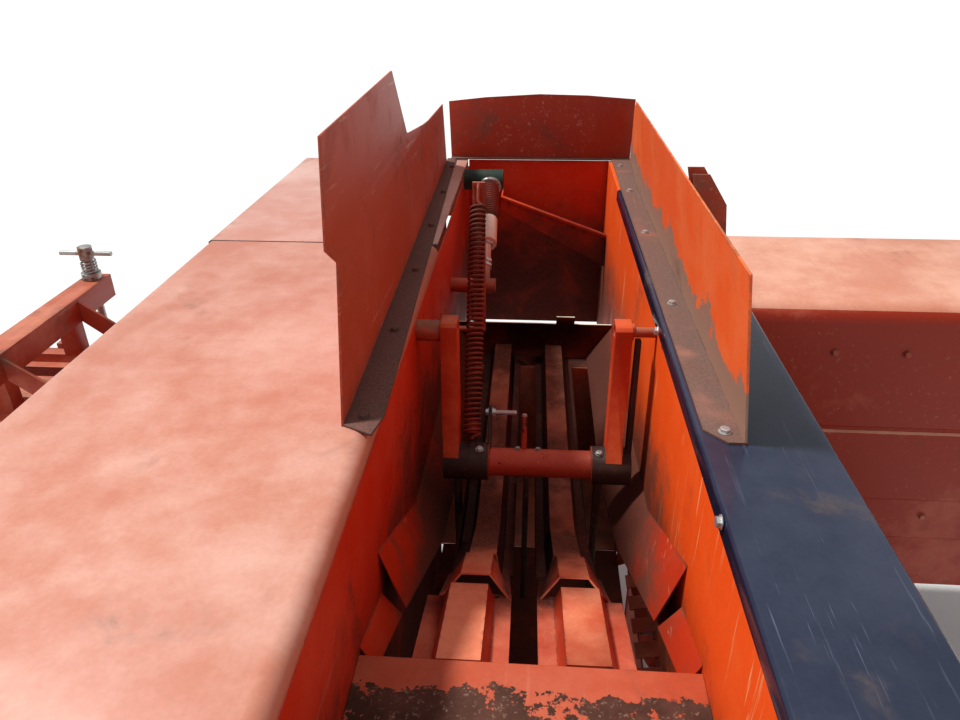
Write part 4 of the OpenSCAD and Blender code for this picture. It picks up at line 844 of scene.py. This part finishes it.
def finishFaces(copies, materials):
    def at(point):
        return point - Vector((middleX, middleY, 0))

    def fromTube(point):
        middle = facePlace["tube"]
        return math.hypot(at(point).y - middle["y"], point.z - middle["z"])

    def betweenClamps(point):
        left, right = facePlace["tube"]["x"]
        return left < at(point).x < right

    # flanges and side webs of the slats; the darker red on the webs is painted shade
    def flange(point, normal):
        low = point.z < footLine(at(point).y) + slatCourse["flange"]
        return low or abs(normal.x) > facePlace["slatSide"]

    # top face of the end rail; its pale finish is partly a painted highlight
    def rail(point, normal):
        place = facePlace["rail"]
        return at(point).y > place["y"] and point.z > place["z"] and normal.z > place["facing"]

    def housingTop(point, normal):
        place = facePlace["housingTop"]
        return normal.z > place["facing"] and point.z > coverHigh.z - place["under"]

    # painted shadow: a dark band on the knotter deck just beyond the near sheet's edge, for the shadow gap at
    # the lap
    def lapShadow(point, normal):
        return point.y < deckHigh.y + lapShadowBand

    def rim(point, normal):
        return point.z < deckZ + facePlace["rimTop"]

    def tube(point, normal):
        return fromTube(point) < facePlace["tube"]["radius"] and betweenClamps(point)

    def clamps(point, normal):
        return fromTube(point) < facePlace["tube"]["clampRadius"] and not betweenClamps(point)

    def strap(point, normal):
        return at(point).x > facePlace["strapX"]

    def hub(point, normal):
        place = facePlace["hub"]
        return abs(at(point).y - place["y"]) < place["half"] and point.z > place["z"]

    def paleBar(point, normal):
        (nearY, farY), (lowZ, highZ) = facePlace["paleBar"]["y"], facePlace["paleBar"]["z"]
        return nearY < at(point).y < farY and lowZ < point.z < highZ

    for name, finish, test in (
            ("feeder_slats", "slatFoot", flange), ("feeder_slats", "paleEdge", rail),
            ("crank_housing", "housingTop", housingTop), ("knotter_deck", "greasy", lapShadow),
            ("rear_guard", "rim", rim), ("back_guard", "rim", rim), ("front_guard", "frontFlange", rim),
            ("fork_frame", "tube", tube), ("fork_frame", "greasy", clamps), ("fork_frame", "greasy", strap),
            ("feeder_mounts", "strutGreen", hub), ("feeder_mounts", "paleBar", paleBar)):
        paintWhere(copies[name], materials[finish], test)


# Bolts and nuts: rows of (x, y, z, direction, size) in working metres, by body and finish

def boltCircle(x, y, z, radius, count, direction, size, start=0.0):
    angles = [start + step * math.tau / count for step in range(count)]
    return [(x + radius * math.cos(angle), y, z + radius * math.sin(angle), direction, size)
            for angle in angles]


boltRows = {
    "rimBolts": {
        "body": "chassis", "finish": "zinc",
        "rows": [(0.249, -1.139, 1.390, (-1, 0, 0), 0.015), (0.244, -0.566, 1.390, (-1, 0, 0), 0.015),
                 (0.293, -0.944, 1.404, (0, 0, 1), 0.015)]
                + [(0.286, y, 1.404, (0, 0, 1), 0.014) for y in (-0.46, 0.0, 0.40, 0.72)],
    },
    "rearRimBolts": {
        "body": "chassis", "finish": "rim",
        "rows": [(-0.273 - 0.0179 * (y + 0.936), y, 1.404, (0, 0, 1), 0.014)
                 for y in (-0.936, -0.62, -0.30, 0.03, 0.36, 0.68)],
    },
    "housingBolts": {
        "body": "chassis", "finish": "paint",
        "rows": [(0.56 + 0.17 * i, side * 0.2705, 1.20, (0, side, 0), 0.015)
                 for side in (-1, 1) for i in range(7)]
                + [(0.56 + 0.17 * i, side * 0.2625, 0.70, (0, side, 0), 0.015)
                   for side in (-1, 1) for i in range(7)],
    },
    "ribBolts": {
        "body": "chassis", "finish": "paint",
        "rows": [(x + 0.032, side * 0.2725, z, (0, side, 0), 0.017) for side in (-1, 1)
                 for x in (-2.27, -1.90, -1.64, -1.30, -0.65) for z in (0.49, 0.87)],
    },
    "endPlateBolts": {
        "body": "chassis", "finish": "paint",
        "rows": [(-0.21 + 0.10 * i, -1.9498, 1.372, (0, -1, 0), 0.013) for i in range(7)]
                + [(-0.21 + 0.09 * i, -1.9498, 0.53, (0, -1, 0), 0.013) for i in range(6)],
    },
    "deckBolts": {
        "body": "chassis", "finish": "faded",
        "rows": [(-0.8618, -1.86 + 0.29 * i, 1.362, (-1, 0, 0), 0.012) for i in range(6)]
                + [(-0.83 + 0.10 * i, 0.8338, 1.36, (0, 1, 0), 0.012) for i in range(6)],
    },
    "gearboxBolts": {
        "body": "chassis", "finish": "steel",
        "rows": [(1.6798, sy * 0.132, z, (1, 0, 0), 0.019) for sy in (-1, 1) for z in (0.74, 0.88, 1.02)],
    },
    "hitchBolts": {
        "body": "chassis", "finish": "steel",
        "rows": [(1.6638, 0.06 + sy * 0.116, z, (1, 0, 0), 0.020) for sy in (-1, 1) for z in (0.375, 0.565)],
    },
    "axleBolts": {
        "body": "chassis", "finish": "steel",
        "rows": [(-1.0 + sx * 0.068, side * 0.2452, z, (0, side, 0), 0.017) for side in (-1, 1)
                 for sx in (-1, 1) for z in (0.61, 0.725)],
    },
    "rightWheelNuts": {
        "body": "right_wheel", "finish": "steel",
        "rows": boltCircle(-1.0, -1.598, 0.36, 0.104, 5, (0, -1, 0), 0.019),
    },
    "leftWheelNuts": {
        "body": "left_wheel", "finish": "steel",
        "rows": boltCircle(-1.0, 0.563, 0.36, 0.104, 5, (0, 1, 0), 0.019),
    },
    "pickupBolts": {
        "body": "pickup", "finish": "steel",
        "rows": boltCircle(0.62, -1.9048, 0.362, 0.075, 4, (0, -1, 0), 0.014, start=0.785),
    },
    "forkBolts": {
        "body": "fork", "finish": "steel",
        "rows": [(0.152, -0.533, 1.0615, (0, -0.25, 1), 0.013), (0.196, -0.533, 1.0615, (0, -0.25, 1), 0.013),
                 (-0.120, -0.533, 1.0615, (0, -0.25, 1), 0.013), (-0.033, -0.512, 1.0515, (0, 0.2, 1), 0.011),
                 (0.014, -0.512, 1.0515, (0, 0.2, 1), 0.011)],
    },
}


def setBolts(materials):
    master = hexBolt()
    for label, group in boltRows.items():
        finish = group["finish"]
        setMany(label, master, group["rows"], group["body"], materials[finish])
    bpy.data.objects.remove(master, do_unlink=True)


def softCylinder(sides, radius, depth, place, edge):
    bpy.ops.mesh.primitive_cylinder_add(vertices=sides, radius=radius, depth=depth)
    piece = bpy.context.object
    piece.data.transform(place)
    bevel = piece.modifiers.new("edge", "BEVEL")
    bevel.width = edge
    bevel.segments = 2
    applyAll(piece)
    return piece


# The fork's tension spring, which stretches between its post and the fork. The hooks' points are
# (from which place, how far along the spring, how far aside).

forkSpring = {
    "top": (-0.150, -0.110, 1.545), "low": (-0.138, -0.512, 1.072), "coilTop": 0.046, "coilLow": 0.014,
    "radius": 0.0183, "wire": 0.0064, "turns": 47, "rod": 0.0045,
    "core": {"radius": 0.0150, "length": 0.030, "inset": 0.016, "sides": 24, "edge": 0.003},
    "upperHook": (("start", 0.004, (0.0183, 0, 0)), ("start", -0.003, (0.012, 0, 0)),
                  ("start", -0.012, (0, 0, 0)), ("start", -0.030, (0, 0, 0)), ("top", -0.006, (0, 0, 0)),
                  ("top", -0.012, (0, 0.012, 0.004)), ("top", 0, (0, 0.016, -0.010))),
    "lowerHook": (("end", -0.004, (0.0183, 0, 0)), ("end", 0.001, (0.010, 0, 0)),
                  ("end", 0.006, (0, 0, 0)), ("end", 0.012, (0, 0, 0))),
}


def addForkSpring(materials):
    top, low = spot(*forkSpring["top"]), spot(*forkSpring["low"])
    along = (low - top).normalized()
    turn = along.to_track_quat("Z", "Y").to_matrix().to_4x4()
    start, end = top + along * forkSpring["coilTop"], low - along * forkSpring["coilLow"]
    places = {"top": top, "start": start, "end": end}
    parts = [coil("springWinding", start, end, forkSpring["radius"], forkSpring["wire"], forkSpring["turns"])]
    for label, rows in (("springUpperHook", "upperHook"), ("springLowerHook", "lowerHook")):
        points = [places[name] + along * reach + Vector(aside) for name, reach, aside in forkSpring[rows]]
        parts.append(bentRod(label, points, forkSpring["rod"]))
    core = forkSpring["core"]
    for middle in (start + along * core["inset"], end - along * core["inset"]):
        parts.append(softCylinder(core["sides"], core["radius"], core["length"],
                                  Matrix.Translation(middle) @ turn, core["edge"]))
    piece = joinPieces("forkTensionSpring", parts)
    piece.data.materials.clear()
    piece.data.materials.append(materials["springRed"])
    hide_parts("fork_spring")
    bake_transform(piece)


# Grey ring, tapered spring and bright fittings of the strut. Places are shares of its length from the
# far end, and the nuts are (share, radius, depth).

strut = {
    "far": (-0.165, 0.640, 1.372), "near": (-0.150, 0.150, 1.180),
    "spring": {"from": 0.10, "to": 0.41, "radius": 0.0268, "wire": 0.0055, "turns": 17, "taper": 0.12},
    "ring": {"share": 0.075, "radius": 0.031, "wire": 0.0075},
    "nuts": ((0.645, 0.021, 0.014), (0.80, 0.018, 0.012), (0.84, 0.018, 0.010)), "nutEdge": 0.0015,
}


def addStrutParts(materials):
    far, near = spot(*strut["far"]), spot(*strut["near"])
    along = (near - far).normalized()
    length = (near - far).length
    turn = along.to_track_quat("Z", "Y").to_matrix().to_4x4()

    def placeAt(share):
        return Matrix.Translation(far + along * share * length) @ turn

    spring = strut["spring"]
    winding = coil("strutSpring", far + along * spring["from"] * length, far + along * spring["to"] * length,
                   spring["radius"], spring["wire"], spring["turns"])
    for vertex in winding.data.vertices:
        reach = (vertex.co - far).dot(along)
        middle = far + along * reach
        wider = 1 + spring["taper"] * (1 - reach / (spring["to"] * length))
        vertex.co = middle + (vertex.co - middle) * wider
    finishPiece(winding, "chassis", materials["springRed"])

    bpy.ops.mesh.primitive_torus_add(major_segments=40, minor_segments=12,
                                     major_radius=strut["ring"]["radius"], minor_radius=strut["ring"]["wire"])
    ring = bpy.context.object
    ring.name = "strutRing"
    ring.data.transform(placeAt(strut["ring"]["share"]))
    smooth(ring, 60)
    finishPiece(ring, "chassis", materials["steel"])

    nuts = [softCylinder(6, radius, depth, placeAt(share), strut["nutEdge"])
            for share, radius, depth in strut["nuts"]]
    piece = joinPieces("strutNuts", nuts)
    smooth(piece)
    finishPiece(piece, "chassis", materials["zinc"])


# Bright bolt with its lug on the fork's left clamp, and the pin on the tube

forkLug = {
    "x": -0.099, "thick": 0.008, "low": (-0.500, 1.052), "high": (-0.452, 1.112), "half": 0.017,
    "edge": 0.0015,
    "thread": {"from": -0.092, "to": -0.040, "radius": 0.0052, "wire": 0.0022, "turns": 22, "steps": 10},
    "shankX": (-0.104, -0.070, -0.038), "nuts": ((-0.0948, 1, 0.017), (-0.1032, -1, 0.015)),
}

tubePin = {
    "points": ((-0.019, -0.508, 1.046), (-0.019, -0.498, 1.085), (-0.019, -0.487, 1.128)), "radius": 0.0065,
    "nut": (-0.019, -0.487, 1.1265, (0, 0.3, 1), 0.010),
}


def addForkParts(materials):
    lowY, lowZ = forkLug["low"]
    highY, highZ = forkLug["high"]
    bpy.ops.mesh.primitive_cylinder_add(vertices=32, radius=forkLug["half"], depth=forkLug["thick"],
                                        rotation=(0, math.pi / 2, 0))
    lug = bpy.context.object
    lug.name = "forkLug"
    bpy.ops.object.transform_apply(location=True, rotation=True, scale=True)
    lean = math.atan2(highZ - lowZ, highY - lowY)
    reach = math.hypot(highZ - lowZ, highY - lowY)
    for vertex in lug.data.vertices:
        if vertex.co.y < 0:
            vertex.co.y -= reach
    lug.data.transform(Matrix.Translation(spot(forkLug["x"], highY, highZ)) @ Matrix.Rotation(lean, 4, "X"))
    roundEdges(lug, forkLug["edge"])
    finishPiece(lug, "fork", materials["greasy"])

    row = forkLug["thread"]
    thread = coil("lugThread", spot(row["from"], highY, highZ), spot(row["to"], highY, highZ), row["radius"],
                  row["wire"], row["turns"], row["steps"])
    shank = bentRod("lugShank", [spot(x, highY, highZ) for x in forkLug["shankX"]], row["radius"], 2)
    bolt = joinPieces("lugBolt", [thread, shank])
    finishPiece(bolt, "fork", materials["zinc"])
    master = hexBolt()
    rows = [(x, highY, highZ, (side, 0, 0), size) for x, side, size in forkLug["nuts"]]
    setMany("lugNuts", master, rows + [tubePin["nut"]], "fork", materials["zinc"])
    bpy.data.objects.remove(master, do_unlink=True)
    pin = bentRod("tubePin", [spot(*point) for point in tubePin["points"]], tubePin["radius"], 2)
    finishPiece(pin, "fork", materials["tube"])


# Springs under the heads of the two tension screws

screwSpring = {
    "x": -1.53, "y": 0.365, "low": 1.111, "high": 1.153, "radius": 0.0235, "wire": 0.0065, "turns": 4,
    "steps": 24,
}


def addTensionSprings(materials):
    for side, label in ((-1, "rightTensionSpring"), (1, "leftTensionSpring")):
        low, high = [spot(screwSpring["x"], side * screwSpring["y"], screwSpring[end])
                     for end in ("low", "high")]
        piece = coil(label, low, high, screwSpring["radius"], screwSpring["wire"], screwSpring["turns"],
                     screwSpring["steps"])
        finishPiece(piece, "chassis", materials["steel"])


addCamera()
addLight()
addFloor()
print("camera, light and floor are set")
materials = makeMaterials()
print("materials made")
copies = finishFrame(materials)
finishFaces(copies, materials)
print("frame pieces finished")
setBolts(materials)
addForkSpring(materials)
addStrutParts(materials)
addForkParts(materials)
addTensionSprings(materials)
print("bolts, springs and fittings set")
